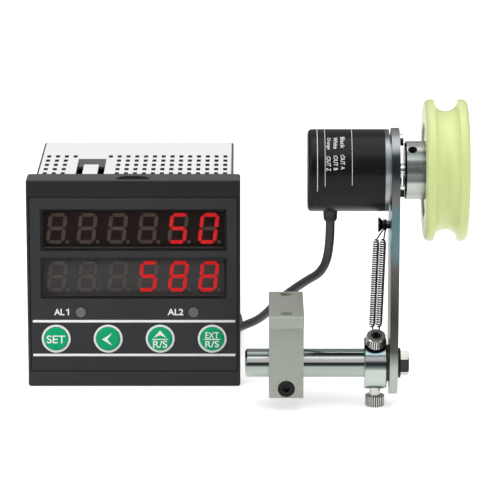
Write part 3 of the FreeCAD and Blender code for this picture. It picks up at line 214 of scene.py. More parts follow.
def unlitSegments():
    # brownish behind the upper window, grey behind the lower one
    made, tree, shader = recipe("unlitSegments", Roughness=0.6, Specular_IOR_Level=0.1)
    shade = varied(tree, between(tree, along(tree, "Z"), 0.04, 0.083), grain(tree, 900), 0.1)
    colours(shader, shade, [(0.5, (0.116, 0.101, 0.093)), (0.6, (0.1, 0.074, 0.065))])
    relief(shader, grain(tree, 900), 0.00002)
    return made


def wireSteel(name, stops, low, high, sideShading=0.0, **constants):
    # bright steel with painted shade where it looks down, more painted shade where it looks aside by a given
    # share, and a painted highlight where it looks up
    made, tree, shader = recipe(name, Metallic=1.0, **constants)
    ways = facing(tree)
    sideShade = sums(tree, "MULTIPLY", sums(tree, "ABSOLUTE", ways["X"]), sideShading)
    paintedLight = sums(tree, "SUBTRACT", between(tree, ways["Z"], -1.0, 1.0), sideShade)
    speckle = grain(tree, 1400)
    colours(shader, varied(tree, paintedLight, sums(tree, "SUBTRACT", speckle, 0.5), 0.1), stops)
    dullness(shader, speckle, low, high, 0.000005)
    return made


def roundSteel(name, axis, stops, low, high):
    # ground and plated: dark and bright bands painted along it by the angle round its axis, painted
    # reflections as on a mirror that is round
    made, tree, shader = recipe(name, Metallic=1.0)
    back, rise = fromAxis(tree, axis)
    turn = sums(tree, "DIVIDE", sums(tree, "ARCTAN2", rise, back), 2 * math.pi)
    share = sums(tree, "FRACT", sums(tree, "ADD", turn, 1.25))      # from straight down, once round
    colours(shader, varied(tree, share, grain(tree, 60, (0.05, 1, 1)), 0.012), stops)
    lines = grain(tree, 900, (0.05, 1, 1), 2.0)
    dullness(shader, lines, low, high, 0.000005)
    return made


def plateSteel():
    # cold-rolled plate, brushed along its length; its tone changes from foot to top as painted reflections
    made, tree, shader = recipe("plateSteel", Metallic=0.85)
    lines = grain(tree, 1200, (1, 1, 0.03), 2.0)
    shade = varied(tree, between(tree, along(tree, "Z"), 0.006, 0.126), grain(tree, 18), 0.06)
    colours(shader, shade, plateReflectionStops)
    dullness(shader, lines, 0.3, 0.42, 0.00002)
    return made


def blastedAluminium():
    made, tree, shader = recipe("blastedAluminium", Metallic=0.3, Specular_IOR_Level=0.4)
    pits = grain(tree, 5200)
    colours(shader, pits, [(0.25, (0.27, 0.29, 0.25)), (0.7, (0.47, 0.495, 0.435))])
    dullness(shader, pits, 0.38, 0.62, 0.00008)
    return made


def paleTyre():
    # cast polyurethane, cloudy yellow-green, that light sinks into; paler down in the groove
    made, tree, shader = recipe("paleTyre", Roughness=0.34, Subsurface_Weight=0.55,
                                Subsurface_Scale=0.01, IOR=1.45, Coat_Weight=0.15, Coat_Roughness=0.2)
    shader.inputs["Subsurface Radius"].default_value = (0.9, 1.0, 0.45)
    back, rise = fromAxis(tree, headAxis)
    squares = sums(tree, "ADD", sums(tree, "MULTIPLY", rise, rise), sums(tree, "MULTIPLY", back, back))
    depth = between(tree, sums(tree, "SQRT", squares), 0.03, 0.0262)
    cloud = sums(tree, "MULTIPLY", grain(tree, 24, detail=4.0), 0.3)
    colours(shader, varied(tree, cloud, depth, 0.6),
            [(0.05, (0.6, 0.68, 0.3)), (0.28, (0.66, 0.735, 0.355)), (0.85, (0.8, 0.87, 0.42))])
    relief(shader, grain(tree, 700, (1, 0.06, 0.06), 2.0), 0.00002)
    return made


def boardLaminate():
    made, tree, shader = recipe("boardLaminate", Roughness=0.45)
    weave = grain(tree, 900)
    traces = step(tree, "ShaderNodeTexBrick", {"Vector": place(tree), "Scale": 160.0,
                                               "Color1": (0.01, 0.1, 0.03, 1),
                                               "Color2": (0.01, 0.13, 0.04, 1),
                                               "Mortar": (0.02, 0.2, 0.07, 1)})
    tree.links.new(traces.outputs["Color"], shader.inputs["Base Color"])
    relief(shader, weave, 0.00003)
    return made


# painted reflections: dark and bright bands by the angle round the axis, for the rod, the collar, the
# wheel's hub and the encoder's flange
rodReflectionStops = [(0.0, (0.5, 0.55, 0.51)), (0.44, (0.4, 0.46, 0.43)), (0.5, (0.44, 0.5, 0.47)),
            (0.585, (0.2, 0.24, 0.22)), (0.61, (0.14, 0.17, 0.16)), (0.62, (0.05, 0.055, 0.055)),
            (0.638, (0.05, 0.055, 0.055)), (0.648, (0.3, 0.34, 0.32)), (0.664, (0.5, 0.54, 0.52)),
            (0.672, (1.0, 1.0, 0.98)), (0.708, (1.0, 1.0, 0.98)), (0.716, (0.06, 0.075, 0.075)),
            (0.747, (0.05, 0.06, 0.06)), (0.76, (0.3, 0.34, 0.31)), (0.86, (0.42, 0.47, 0.43)),
            (0.935, (0.46, 0.51, 0.47)), (0.955, (0.16, 0.18, 0.17))]
collarReflectionStops = [(0.0, (0.5, 0.53, 0.5)), (0.44, (0.45, 0.48, 0.46)), (0.52, (0.42, 0.48, 0.46)),
               (0.585, (0.16, 0.2, 0.2)), (0.6, (0.03, 0.045, 0.05)), (0.63, (0.07, 0.12, 0.14)),
               (0.655, (0.28, 0.4, 0.44)), (0.672, (0.42, 0.52, 0.55)), (0.684, (0.95, 0.95, 0.93)),
               (0.7, (0.9, 0.9, 0.88)), (0.712, (0.1, 0.13, 0.14)), (0.745, (0.1, 0.12, 0.12)),
               (0.765, (0.44, 0.49, 0.46)), (0.86, (0.52, 0.57, 0.53)), (0.94, (0.52, 0.56, 0.52)),
               (0.96, (0.2, 0.22, 0.21))]
hubReflectionStops = [(0.0, (0.5, 0.52, 0.5)), (0.44, (0.42, 0.44, 0.42)), (0.48, (0.62, 0.64, 0.61)),
            (0.55, (0.62, 0.64, 0.61)), (0.6, (0.34, 0.36, 0.35)), (0.618, (0.1, 0.11, 0.11)),
            (0.635, (0.16, 0.18, 0.18)), (0.66, (0.3, 0.33, 0.33)), (0.69, (0.22, 0.25, 0.25)),
            (0.7, (0.34, 0.36, 0.36)), (0.735, (0.22, 0.24, 0.24)), (0.77, (0.12, 0.13, 0.13)),
            (0.785, (0.12, 0.13, 0.13)), (0.8, (0.42, 0.44, 0.41)), (0.9, (0.46, 0.48, 0.45)),
            (0.95, (0.22, 0.24, 0.23))]
flangeReflectionStops = [(0.0, (0.3, 0.31, 0.3)), (0.44, (0.3, 0.31, 0.3)), (0.5, (0.22, 0.24, 0.25)),
               (0.58, (0.14, 0.16, 0.17)), (0.62, (0.3, 0.33, 0.34)), (0.66, (0.16, 0.19, 0.2)),
               (0.72, (0.42, 0.45, 0.46)), (0.78, (0.2, 0.22, 0.23)), (0.84, (0.34, 0.35, 0.34)),
               (0.9, (0.18, 0.19, 0.19)), (0.96, (0.3, 0.31, 0.3))]
# the plate's painted reflections, by height from foot to top
plateReflectionStops = [(0.0, (0.45, 0.48, 0.45)), (0.15, (0.4, 0.43, 0.4)), (0.22, (0.06, 0.065, 0.055)),
              (0.36, (0.034, 0.036, 0.028)), (0.53, (0.085, 0.082, 0.072)), (0.59, (0.1, 0.175, 0.19)),
              (0.75, (0.09, 0.165, 0.18)), (0.79, (0.13, 0.13, 0.13)), (0.85, (0.07, 0.075, 0.075)),
              (0.88, (0.025, 0.032, 0.036)), (0.95, (0.03, 0.04, 0.045)), (0.98, (0.3, 0.31, 0.31))]
# springs: painted shade near black where they look down, a painted highlight where they look up
springShadeHighlightStops = [(0.0, (0.008, 0.008, 0.007)), (0.6, (0.015, 0.015, 0.013)), (0.72, (0.24, 0.24, 0.21)),
               (0.84, (0.74, 0.74, 0.7)), (1.0, (0.85, 0.85, 0.8))]
# bolt: painted reflections, bright where it looks up or down, dark where it looks aside
boltReflectionStops = [(0.0, (0.55, 0.56, 0.53)), (0.3, (0.5, 0.51, 0.48)), (0.38, (0.04, 0.04, 0.037)),
             (0.6, (0.03, 0.03, 0.027)), (0.7, (0.5, 0.51, 0.48)), (1.0, (0.7, 0.71, 0.68))]

# dark and light tone, fineness of the grain, roughness from and to, relief, and shine where it isn't 0.5
moulded = {
    "overlayGrey": ((0.018, 0.018, 0.021), (0.024, 0.024, 0.027), 1800, 0.38, 0.5, 0.00002, 0.28),
    # the black of the overlay's seam: painted shade of the gap
    "seamShade": ((0.002, 0.002, 0.002), (0.004, 0.004, 0.004), 900, 0.7, 0.9, 0.00001, 0.1),
    "moduleBrown": ((0.017, 0.0105, 0.0095), (0.022, 0.014, 0.0125), 500, 0.6, 0.8, 0.00002, 0.08),
    "moduleGrey": ((0.071, 0.068, 0.068), (0.08, 0.077, 0.077), 500, 0.6, 0.8, 0.00002, 0.08),
    "lampGrey": ((0.085, 0.085, 0.095), (0.13, 0.13, 0.14), 900, 0.25, 0.4, 0.00003),
    "keyGreen": ((0.003, 0.37, 0.15), (0.005, 0.42, 0.18), 1200, 0.34, 0.46, 0.00002, 0.12),
    "ringWhite": ((0.9, 0.91, 0.9), (0.95, 0.95, 0.94), 1200, 0.3, 0.42, 0.00002),
    "printWhite": ((0.92, 0.92, 0.91), (0.96, 0.96, 0.96), 2400, 0.45, 0.6, 0.00001),
    # grey of the latch's sloping plate: painted shade
    "latchShadeGrey": ((0.075, 0.08, 0.09), (0.13, 0.135, 0.15), 900, 0.4, 0.55, 0.00003),
    "componentBlack": ((0.01, 0.01, 0.011), (0.02, 0.02, 0.02), 900, 0.4, 0.6, 0.00004),
    "terminalGrey": ((0.045, 0.05, 0.055), (0.06, 0.066, 0.07), 1400, 0.4, 0.55, 0.00004),
    # near black for faces down in grooves and sockets: painted shade
    "grooveShade": ((0.01, 0.01, 0.009), (0.03, 0.03, 0.027), 900, 0.5, 0.7, 0.00001, 0.1),
    "screwBlack": ((0.004, 0.004, 0.004), (0.009, 0.009, 0.009), 1600, 0.3, 0.45, 0.00003, 0.2),
    "caseBlack": ((0.0035, 0.004, 0.0038), (0.006, 0.0065, 0.006), 2200, 0.24, 0.33, 0.00003, 0.17),
    "glandRubber": ((0.012, 0.012, 0.012), (0.02, 0.02, 0.02), 1500, 0.45, 0.6, 0.00004),
    "cableJacket": ((0.014, 0.015, 0.015), (0.024, 0.025, 0.025), 1300, 0.38, 0.52, 0.00005),
    "wireBrown": ((0.1, 0.03, 0.012), (0.14, 0.045, 0.018), 1300, 0.35, 0.5, 0.00002),
    "wireBlack": ((0.01, 0.01, 0.01), (0.018, 0.018, 0.018), 1300, 0.35, 0.5, 0.00002),
    "wireWhite": ((0.7, 0.7, 0.68), (0.78, 0.78, 0.76), 1300, 0.35, 0.5, 0.00002),
    "wireOrange": ((0.72, 0.2, 0.02), (0.8, 0.25, 0.03), 1300, 0.35, 0.5, 0.00002),
}
# dark and light tone, the way of the lines, roughness from and to, relief, and metal where it isn't 1
machined = {
    "transformerIron": ((0.2, 0.19, 0.18), (0.28, 0.27, 0.25), (1, 0.05, 1), 0.4, 0.6, 0.00006),
    "brightSteel": ((0.6, 0.63, 0.61), (0.7, 0.73, 0.71), (0.05, 1, 1), 0.08, 0.17, 0.000006),
    "knurledSteel": ((0.56, 0.56, 0.52), (0.74, 0.74, 0.7), (1, 1, 0.05), 0.14, 0.26, 0.00003, 0.8),
    "bushBronze": ((0.07, 0.05, 0.035), (0.1, 0.075, 0.05), (0.05, 1, 1), 0.35, 0.5, 0.00002),
}
finishes = {
    **{name: plain(name, *look) for name, look in moulded.items()},
    **{name: metal(name, *look) for name, look in machined.items()},
    "bezelGrey": bezelPlastic(),
    "housingWhite": housingWhite(),
    "clearPane": windowPane(),
    "litRed": litRed(),
    "unlitSegments": unlitSegments(),
    "boardLaminate": boardLaminate(),
    "springSteel": wireSteel("springSteel", springShadeHighlightStops, 0.22, 0.34, 0.38,
                             Specular_Tint=(0.12, 0.12, 0.11, 1)),
    "boltSteel": wireSteel("boltSteel", boltReflectionStops, 0.16, 0.28),
    "rodSteel": roundSteel("rodSteel", armAxis, rodReflectionStops, 0.1, 0.2),
    "collarSteel": roundSteel("collarSteel", armAxis, collarReflectionStops, 0.12, 0.22),
    "hubAluminium": roundSteel("hubAluminium", headAxis, hubReflectionStops, 0.2, 0.32),
    "turnedAluminium": roundSteel("turnedAluminium", headAxis, flangeReflectionStops, 0.24, 0.36),
    "plateSteel": plateSteel(),
    "blastedAluminium": blastedAluminium(),
    "paleTyre": paleTyre(),
}
print("stage: finishes made,", len(finishes))

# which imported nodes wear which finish
nodeFinish = {
    "bezelGrey": ["meter_bezel"],
    "overlayGrey": ["front_overlay"],
    "clearPane": ["display_window_upper", "display_window_lower"],
    "moduleBrown": ["display_module_upper"],
    "moduleGrey": ["display_module_lower"],
    "litRed": ["segments_lit"],
    "unlitSegments": ["segments_unlit"],
    "lampGrey": ["alarm_lamps"],
    "keyGreen": ["key_set", "key_shift", "key_up", "key_exit"],
    "ringWhite": ["key_rings"],
    "componentBlack": ["key_switches", "board_components", "optical_sensor"],
    "housingWhite": ["meter_housing"],
    "boardLaminate": ["front_board", "power_board", "signal_board", "encoder_board"],
    "transformerIron": ["power_transformer"],
    "terminalGrey": ["terminal_block"],
    "plateSteel": ["arm_plate"],
    "rodSteel": ["pivot_rod"],
    "collarSteel": ["clamp_collar"],
    "brightSteel": ["pivot_bolt", "encoder_shaft", "encoder_bearings",
                    "code_disc", "terminal_screws"],
    "bushBronze": ["pivot_bush"],
    "screwBlack": ["pivot_washer", "clamp_screw", "encoder_case_screws", "hub_set_screw"],
    "springSteel": ["spring_left", "spring_right", "spring_anchor_screw", "flange_screws"],
    "knurledSteel": ["collar_lock_screw", "spring_post_screw"],
    "caseBlack": ["encoder_case"],
    "turnedAluminium": ["encoder_flange"],
    "hubAluminium": ["wheel_hub"],
    "paleTyre": ["wheel_tyre"],
    "blastedAluminium": ["clamp_block"],
    "glandRubber": ["cable_gland", "cable_boot", "coil_ties"],
    "cableJacket": ["cable_lead", "cable_coil", "cable_tail", "sensor_wires"],
}


def dressNodes():
    dressed = set()
    for finish, names in nodeFinish.items():
        for name in names:
            node = cadNodes[name]
            if not node.material_slots:
                node.data.materials.append(None)
            for slot in node.material_slots:
                slot.material = finishes[finish]
            dressed.add(name)
    print("stage: nodes dressed,", len(dressed), "left plain", sorted(set(cadNodes) - dressed))


def only(piece):
    bpy.ops.object.select_all(action="DESELECT")
    piece.select_set(True)
    bpy.context.view_layer.objects.active = piece


def begin(name, kind, **sizes):
    # the new piece comes selected, and nothing else with it
    getattr(bpy.ops.mesh, f"primitive_{kind}_add")(**sizes)
    piece = bpy.context.object
    piece.name = piece.data.name = name
    return piece


def editing(on):
    # into edit mode with all of the piece selected, or out of it
    bpy.ops.object.mode_set(mode="EDIT" if on else "OBJECT")
    if on:
        bpy.ops.mesh.select_all(action="SELECT")


def pick(piece, wanted):
    # selects the faces whose middle and outward way pass the test
    bpy.ops.mesh.select_mode(type="FACE")
    bpy.ops.mesh.select_all(action="DESELECT")
    mesh = bmesh.from_edit_mesh(piece.data)
    mesh.normal_update()
    for face in mesh.faces:
        if wanted(face.calc_center_median(), face.normal):
            face.select_set(True)
    bmesh.update_edit_mesh(piece.data)


def closeUp():
    bpy.ops.mesh.select_all(action="SELECT")
    bpy.ops.mesh.remove_doubles(threshold=1e-6)
    bpy.ops.mesh.normals_make_consistent(inside=False)


def fixPlace():
    bpy.ops.object.transform_apply(location=True, rotation=True, scale=True)


def drawnOut(far):
    # makes the shape just added solid: all of it is drawn out along a way
    editing(True)
    bpy.ops.mesh.extrude_region_move(TRANSFORM_OT_translate={"value": far})
    closeUp()
    editing(False)


def wear(piece, finish):
    piece.data.materials.clear()
    piece.data.materials.append(finishes[finish])


def settle(piece, finish, body, sharp=35):
    # to the origin, smooth where it is round, then its finish and its body
    only(piece)
    fixPlace()
    bpy.ops.object.shade_smooth_by_angle(angle=math.radians(sharp))
    if finish:
        wear(piece, finish)
    if body:
        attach(piece, body)


def turned(name, rings, sides):
    # a disc pulled through (radius, height) rings
    radius, height = rings[0]
    piece = begin(name, "circle", vertices=sides, radius=radius, fill_type="NGON", location=(0, 0, height))
    editing(True)
    for nextRadius, nextHeight in rings[1:]:
        move = {"value": (0, 0, nextHeight - height)}
        bpy.ops.mesh.extrude_region_move(TRANSFORM_OT_translate=move)
        share = nextRadius / radius
        bpy.ops.transform.resize(value=(share, share, 1))
        radius, height = nextRadius, nextHeight
    closeUp()
    editing(False)
    fixPlace()
    return piece


turnsTo = {"Z": (0, 0, 0), "-Z": (math.pi, 0, 0), "X": (0, math.pi / 2, 0), "-Y": (math.pi / 2, 0, 0)}


def stand(piece, centre, way):
    # way is the axis that the piece's top is turned to, or three angles
    piece.rotation_euler = turnsTo.get(way, way)
    piece.location = centre
    only(piece)
    fixPlace()
    return piece


def joined(name, pieces):
    only(pieces[0])
    for piece in pieces[1:]:
        piece.select_set(True)
    if len(pieces) > 1:
        bpy.ops.object.join()
    pieces[0].name = pieces[0].data.name = name
    return pieces[0]


def copyOf(piece, name):
    twin = piece.copy()
    twin.data = piece.data.copy()
    twin.name = twin.data.name = name
    bpy.context.scene.collection.objects.link(twin)
    return twin


past = 0.001      # how far a tool reaches past what it cuts


def carved(piece, tool, operation):
    # cuts the tool out of the piece, or keeps what they share
    cut = piece.modifiers.new("cut", "BOOLEAN")
    cut.object = tool
    cut.operation = operation
    cut.solver = "EXACT"
    only(piece)
    bpy.ops.object.modifier_apply(modifier=cut.name)
    bpy.data.objects.remove(tool, do_unlink=True)
    return piece


def block(name, low, high, edge=0.0):
    # a box between two corners, its edges broken
    middle = [(a + b) / 2 for a, b in zip(low, high)]
    piece = begin(name, "cube", size=1, location=middle, scale=[b - a for a, b in zip(low, high)])
    fixPlace()
    if edge:
        editing(True)
        bpy.ops.mesh.bevel(offset=edge, segments=2, affect="EDGES")
        closeUp()
        editing(False)
    return piece


def meshFrom(item):
    only(item)
    bpy.ops.object.convert(target="MESH")
    return bpy.context.object


def curveOf(name, points, thick, ringSteps, fineness):
    curve = bpy.data.curves.new(name, "CURVE")
    curve.dimensions = "3D"
    curve.bevel_depth = thick / 2
    curve.bevel_resolution = ringSteps
    curve.resolution_u = fineness
    curve.use_fill_caps = True
    spline = curve.splines.new("NURBS")
    spline.points.add(len(points) - 1)
    for spot, point in zip(spline.points, points):
        spot.co = (*point, 1)
    spline.order_u = 3
    spline.use_endpoint_u = True
    item = bpy.data.objects.new(name, curve)
    bpy.context.scene.collection.objects.link(item)
    return item


def middleLine(item):
    # the points down the middle of a curve, read from it without its thickness
    bare = bpy.data.objects.new("bare", item.data.copy())
    bare.data.bevel_depth = 0
    line = bpy.data.meshes.new_from_object(bare)
    points = [tuple(vertex.co) for vertex in line.vertices]
    bpy.data.meshes.remove(line)
    bpy.data.curves.remove(bare.data)
    return points


camera = {"place": (0.05, -1.4454, 0.4196), "down": 0.2424, "lens": 237.8, "shift": 0.0104}


def standCamera():
    bpy.ops.object.camera_add(location=camera["place"], rotation=(math.pi / 2 - camera["down"], 0, 0))
    eye = bpy.context.object
    eye.data.lens = camera["lens"]
    eye.data.sensor_width = 36
    eye.data.shift_x = camera["shift"]
    eye.data.clip_start = 0.05
    eye.data.clip_end = 30
    bpy.context.scene.camera = eye
    print("stage: camera stands")


# the cable runs from the encoder to a coil behind the indicator, and on into its terminals
cable = {
    "diameter": 0.004, "length": 1.18,
    "lead": [(0.0875, -0.036, 0.0844), (0.0875, -0.036, 0.072), (0.0845, -0.029, 0.0595),
             (0.077, -0.011, 0.0505), (0.066, 0.013, 0.036), (0.0578, 0.038, 0.02),
             (0.0484, 0.055, 0.0116), (0.0475, 0.08, 0.004), (0.0468, 0.1085, 0.0026)],
    "tail": [(-0.0114, 0.1198, 0.0068), (-0.016, 0.1093, 0.013), (-0.02, 0.1029, 0.0236),
             (-0.02, 0.1029, 0.0355)],
}
coil = {
    "centre": (0.0185, 0.132), "radius": 0.0225, "height": 0.0063, "spacing": 0.0041,
    "strands": [(0.5, -0.866), (-0.5, -0.866), (-1, 0), (0, 0), (-0.5, 0.866), (0.5, 0.866), (1, 0)],
    "enters": -10, "leaves": 180, "stepDegrees": 15,
    "firstMove": 318, "moveBack": 26, "moveLong": 30,
}


def coilTurns():
    # the strands lie in a bundle; each turn moves over once, into a place that is free there
    points = []
    last = len(coil["strands"]) - 1
    angle = coil["enters"]
    end = 360 * last + coil["leaves"]
    while angle < end + 1:
        stage = 0.0
        for move in range(last):
            begins = 360 * move + coil["firstMove"] - coil["moveBack"] * move
            stage += min(1, max(0, (angle - begins) / coil["moveLong"]))
        low = min(int(stage), last - 1)
        share = stage - low
        share = share * share * (3 - 2 * share)      # it leaves one place and reaches the next gently
        first, second = coil["strands"][low], coil["strands"][low + 1]
        out = first[0] + (second[0] - first[0]) * share
        up = first[1] + (second[1] - first[1]) * share
        reach = coil["radius"] + out * coil["spacing"]
        turn = math.radians(angle)
        points.append((coil["centre"][0] + reach * math.cos(turn),
                       coil["centre"][1] + reach * math.sin(turn),
                       coil["height"] + up * coil["spacing"]))
        angle += min(coil["stepDegrees"], max(end - angle, 1))
    return points


def sensorCable():
    route = cable["lead"] + coilTurns() + cable["tail"]
    item = curveOf("sensorCable", route, cable["diameter"], 4, 6)
    line = middleLine(item)
    long = sum((Vector(b) - Vector(a)).length for a, b in zip(line, line[1:]))
    piece = meshFrom(item)
    settle(piece, "cableJacket", None, 60)
    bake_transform(piece)
    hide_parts("cable_lead", "cable_coil", "cable_tail")
    print("stage: cable laid,", round(long, 4), "m")
    return piece, line


# the cable's strain relief and boot, the ties round its coil, and the wires at its end
gland = {
    "place": (0.0875, -0.036, 0.107),
    "rings": [(0.0035, 0.0152), (0.0035, 0.0157), (0.0031, 0.0158), (0.0031, 0.0203), (0.0029, 0.0205),
              (0.0029, 0.0208), (0.0031, 0.021), (0.0031, 0.0214), (0.0027, 0.0216), (0.0027, 0.0219),
              (0.0028, 0.0221), (0.0024, 0.0226)],
}
boot = {
    "place": (-0.02, 0.1029, 0.0355), "long": 0.01, "tip": 0.0024,
    "body": 0.0027, "taper": 0.00004, "slope": 0.0002,
    "groove": 0.0022, "grooveWide": 0.0004,
    "ribs": 5, "firstRib": 0.0012, "pitch": 0.0014,
}
ties = {
    "far": 0.0225, "wide": 0.0036, "thick": 0.0007, "slack": 0.00005,
    "across": 0.004, "sides": 72, "strandsApart": 60,
    "lockOver": 0.0003, "lockHalf": 0.0022, "lockHigh": 0.0022, "lockEdge": 0.0003,
}
wires = {
    "diameter": 0.0012, "spread": 0.00125,
    "start": (-0.02, 0.1029, 0.04585), "bend": 0.005, "bendShare": 0.3,
    "firstTerminal": -0.0333, "pitch": 0.0074,
    "over": (0.0996, 0.0555), "seat": (0.093, 0.0565),
    "finishes": ["wireBrown", "wireBlack", "wireWhite", "wireOrange"],
}


def cableGland():
    piece = stand(turned("cableGland", gland["rings"], 40), gland["place"], "-Z")
    settle(piece, "glandRubber", "arm")
    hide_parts("cable_gland")


def cableBoot():
    rings = [(boot["body"], 0)]
    for rib in range(boot["ribs"]):
        low = boot["firstRib"] + boot["pitch"] * rib
        body = boot["body"] - boot["taper"] * rib
        floor = low + boot["slope"]
        rise = floor + boot["grooveWide"]
        rings += [(body, low), (boot["groove"], floor), (boot["groove"], rise),
                  (body - boot["taper"], rise + boot["slope"])]
    rings.append((boot["tip"], boot["long"]))
    piece = stand(turned("cableBoot", rings, 40), boot["place"], "Z")
    settle(piece, "glandRubber", "stand")
    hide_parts("cable_boot")
    return piece


def coilTie(name, side):
    # a strap drawn round the strands: an arc at each outer strand, straight between them
    reach = ties["across"] / 2 + ties["slack"]
    ring = begin(name, "circle", vertices=ties["sides"], radius=reach, fill_type="NOTHING")
    for number, vertex in enumerate(ring.data.vertices):
        degrees = number * 360 / ties["sides"]
        turn = math.radians(degrees)
        strand = math.radians(round(degrees / ties["strandsApart"]) * ties["strandsApart"])
        vertex.co = (0, coil["spacing"] * math.cos(strand) + reach * math.cos(turn),
                     coil["spacing"] * math.sin(strand) + reach * math.sin(turn))
    drawnOut((ties["wide"], 0, 0))
    only(ring)
    shell = ring.modifiers.new("strap", "SOLIDIFY")
    shell.thickness = ties["thick"]
    shell.offset = 1
    bpy.ops.object.modifier_apply(modifier=shell.name)
    top = coil["spacing"] * max(up for out, up in coil["strands"]) + reach
    lock = block(name + "Lock", (-ties["lockOver"], -ties["lockHalf"], top),
                 (ties["wide"] + ties["lockOver"], ties["lockHalf"], top + ties["lockHigh"]),
                 ties["lockEdge"])
    piece = joined(name, [ring, lock])
    stand(piece, (coil["centre"][0] - ties["wide"] / 2, coil["centre"][1] + ties["far"] * side,
                  coil["height"]), "Z")
    settle(piece, "glandRubber", "stand")
    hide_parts("coil_ties")
    return piece


def sensorWires():
    pieces = []
    middle = (len(wires["finishes"]) - 1) / 2
    for number, finish in enumerate(wires["finishes"]):
        x = wires["firstTerminal"] + wires["pitch"] * number
        start = (wires["start"][0] + (number - middle) * wires["spread"], *wires["start"][1:])
        bend = (start[0] + (x - start[0]) * wires["bendShare"], start[1], start[2] + wires["bend"])
        route = [start, bend, (x, *wires["over"]), (x, *wires["seat"])]
        piece = meshFrom(curveOf(f"wire{number}", route, wires["diameter"], 3, 10))
        wear(piece, finish)
        pieces.append(piece)
    piece = joined("sensorWires", pieces)
    settle(piece, None, "stand", 60)
    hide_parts("sensor_wires")
    return piece


# the collar's two screws, with knurled heads and a hexagon socket
collarScrew = {
    "x": 0.1077, "shank": 0.0025, "reachIn": 0.00635,
    "head": 0.00425, "deep": 0.005, "base": 0.0002, "edge": 0.00035,
    "socket": 0.004, "socketDeep": 0.0025, "socketShare": 0.56, "rim": 0.0012, "slack": 0.0001,
    "sides": 52, "groove": 0.00022, "grooveEdge": 0.00005, "grooveStart": 0.0003, "grooveSkin": 0.00008,
}
lockSeat = 0.0146
postSeat = 0.01225
postLean = math.radians(30)


def socketed(piece, top, flats, deep, rim):
    # the end face gets a rim, its inner edge drawn to a hexagon, and that goes down
    editing(True)
    pick(piece, lambda middle, way: way.z > 0.9 and middle.z > top - 1e-5)
    bpy.ops.mesh.inset(thickness=rim, use_individual=True)
    mesh = bmesh.from_edit_mesh(piece.data)
    for vertex in mesh.verts:
        if vertex.select:
            angle = math.atan2(vertex.co.y, vertex.co.x)
            off = (angle % (math.pi / 3)) - math.pi / 6
            reach = flats / 2 / math.cos(off)
            vertex.co.x, vertex.co.y = reach * math.cos(angle), reach * math.sin(angle)
    bmesh.update_edit_mesh(piece.data)
    bpy.ops.mesh.extrude_region_move(TRANSFORM_OT_translate={"value": (0, 0, -deep)})
    closeUp()
    editing(False)


def knurled(piece, low, high):
    # every other strip of the rim is sunk
    sides = collarScrew["sides"]
    editing(True)

    def groove(middle, way):
        turn = math.atan2(middle.y, middle.x) % (2 * math.pi)
        return low < middle.z < high and abs(way.z) < 0.1 and int(turn * sides / (2 * math.pi)) % 2 == 0

    pick(piece, groove)
    bpy.ops.mesh.inset(thickness=collarScrew["grooveEdge"], depth=-collarScrew["groove"],
                       use_individual=True)
    closeUp()
    editing(False)


def darkened(piece, wanted):
    # the faces down in grooves and sockets get the second finish, a near black that is painted shade
    piece.data.materials.append(finishes["grooveShade"])
    editing(True)
    pick(piece, wanted)
    piece.active_material_index = 1
    bpy.ops.object.material_slot_assign()
    editing(False)


def capScrew(name, replaced, seat, way):
    size = collarScrew
    end = seat + size["deep"]
    rings = [(size["shank"], size["reachIn"]), (size["shank"], seat), (size["head"] - size["base"], seat),
             (size["head"], seat + size["base"]), (size["head"], end - size["edge"]),
             (size["head"] - size["edge"], end)]
    piece = turned(name, rings, size["sides"])
    socketed(piece, end, size["socket"], size["socketDeep"], size["rim"])
    knurled(piece, seat + size["grooveStart"], end - size["edge"])
    piece.data.materials.append(finishes["knurledSteel"])

    def sunk(middle, way):
        out = math.hypot(middle.x, middle.y)
        down = end - middle.z
        inSocket = (size["slack"] < down < size["socketDeep"] + size["slack"]
                    and out < size["socket"] * size["socketShare"])
        inGroove = (size["edge"] < down < size["deep"]
                    and size["shank"] < out < size["head"] - size["grooveSkin"])
        return inSocket or (inGroove and abs(way.z) < 0.9)

    darkened(piece, sunk)
    stand(piece, (size["x"], *armAxis), way)
    settle(piece, None, "stand", 30)
    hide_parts(replaced)


# the two springs: each is one wire, from the hook on the anchor screw to the loop round the post
spring = {
    "wire": 0.00068, "radius": 0.00124, "pitch": 0.00098, "pointsPerTurn": 12,
    "neck": 0.25, "neckSpeed": 20,
    "tops": [(0.1078, -0.036, 0.0762), (0.1108, -0.036, 0.0762)],
    "feet": [(0.1062, -0.0376, 0.03625), (0.1092, -0.0376, 0.03625)],
    "hookX": [0.1111, 0.1119], "hookRadius": 0.00222, "hookDegrees": range(250, -86, -20),
    "anchorZ": 0.0826, "postRadius": 0.0025,
    "loopRadius": [0.0043, 0.0036], "loopRise": [0.01123, 0.01186], "loopGap": 0.00005,
    "loopDegrees": range(14, 340, 18),
}


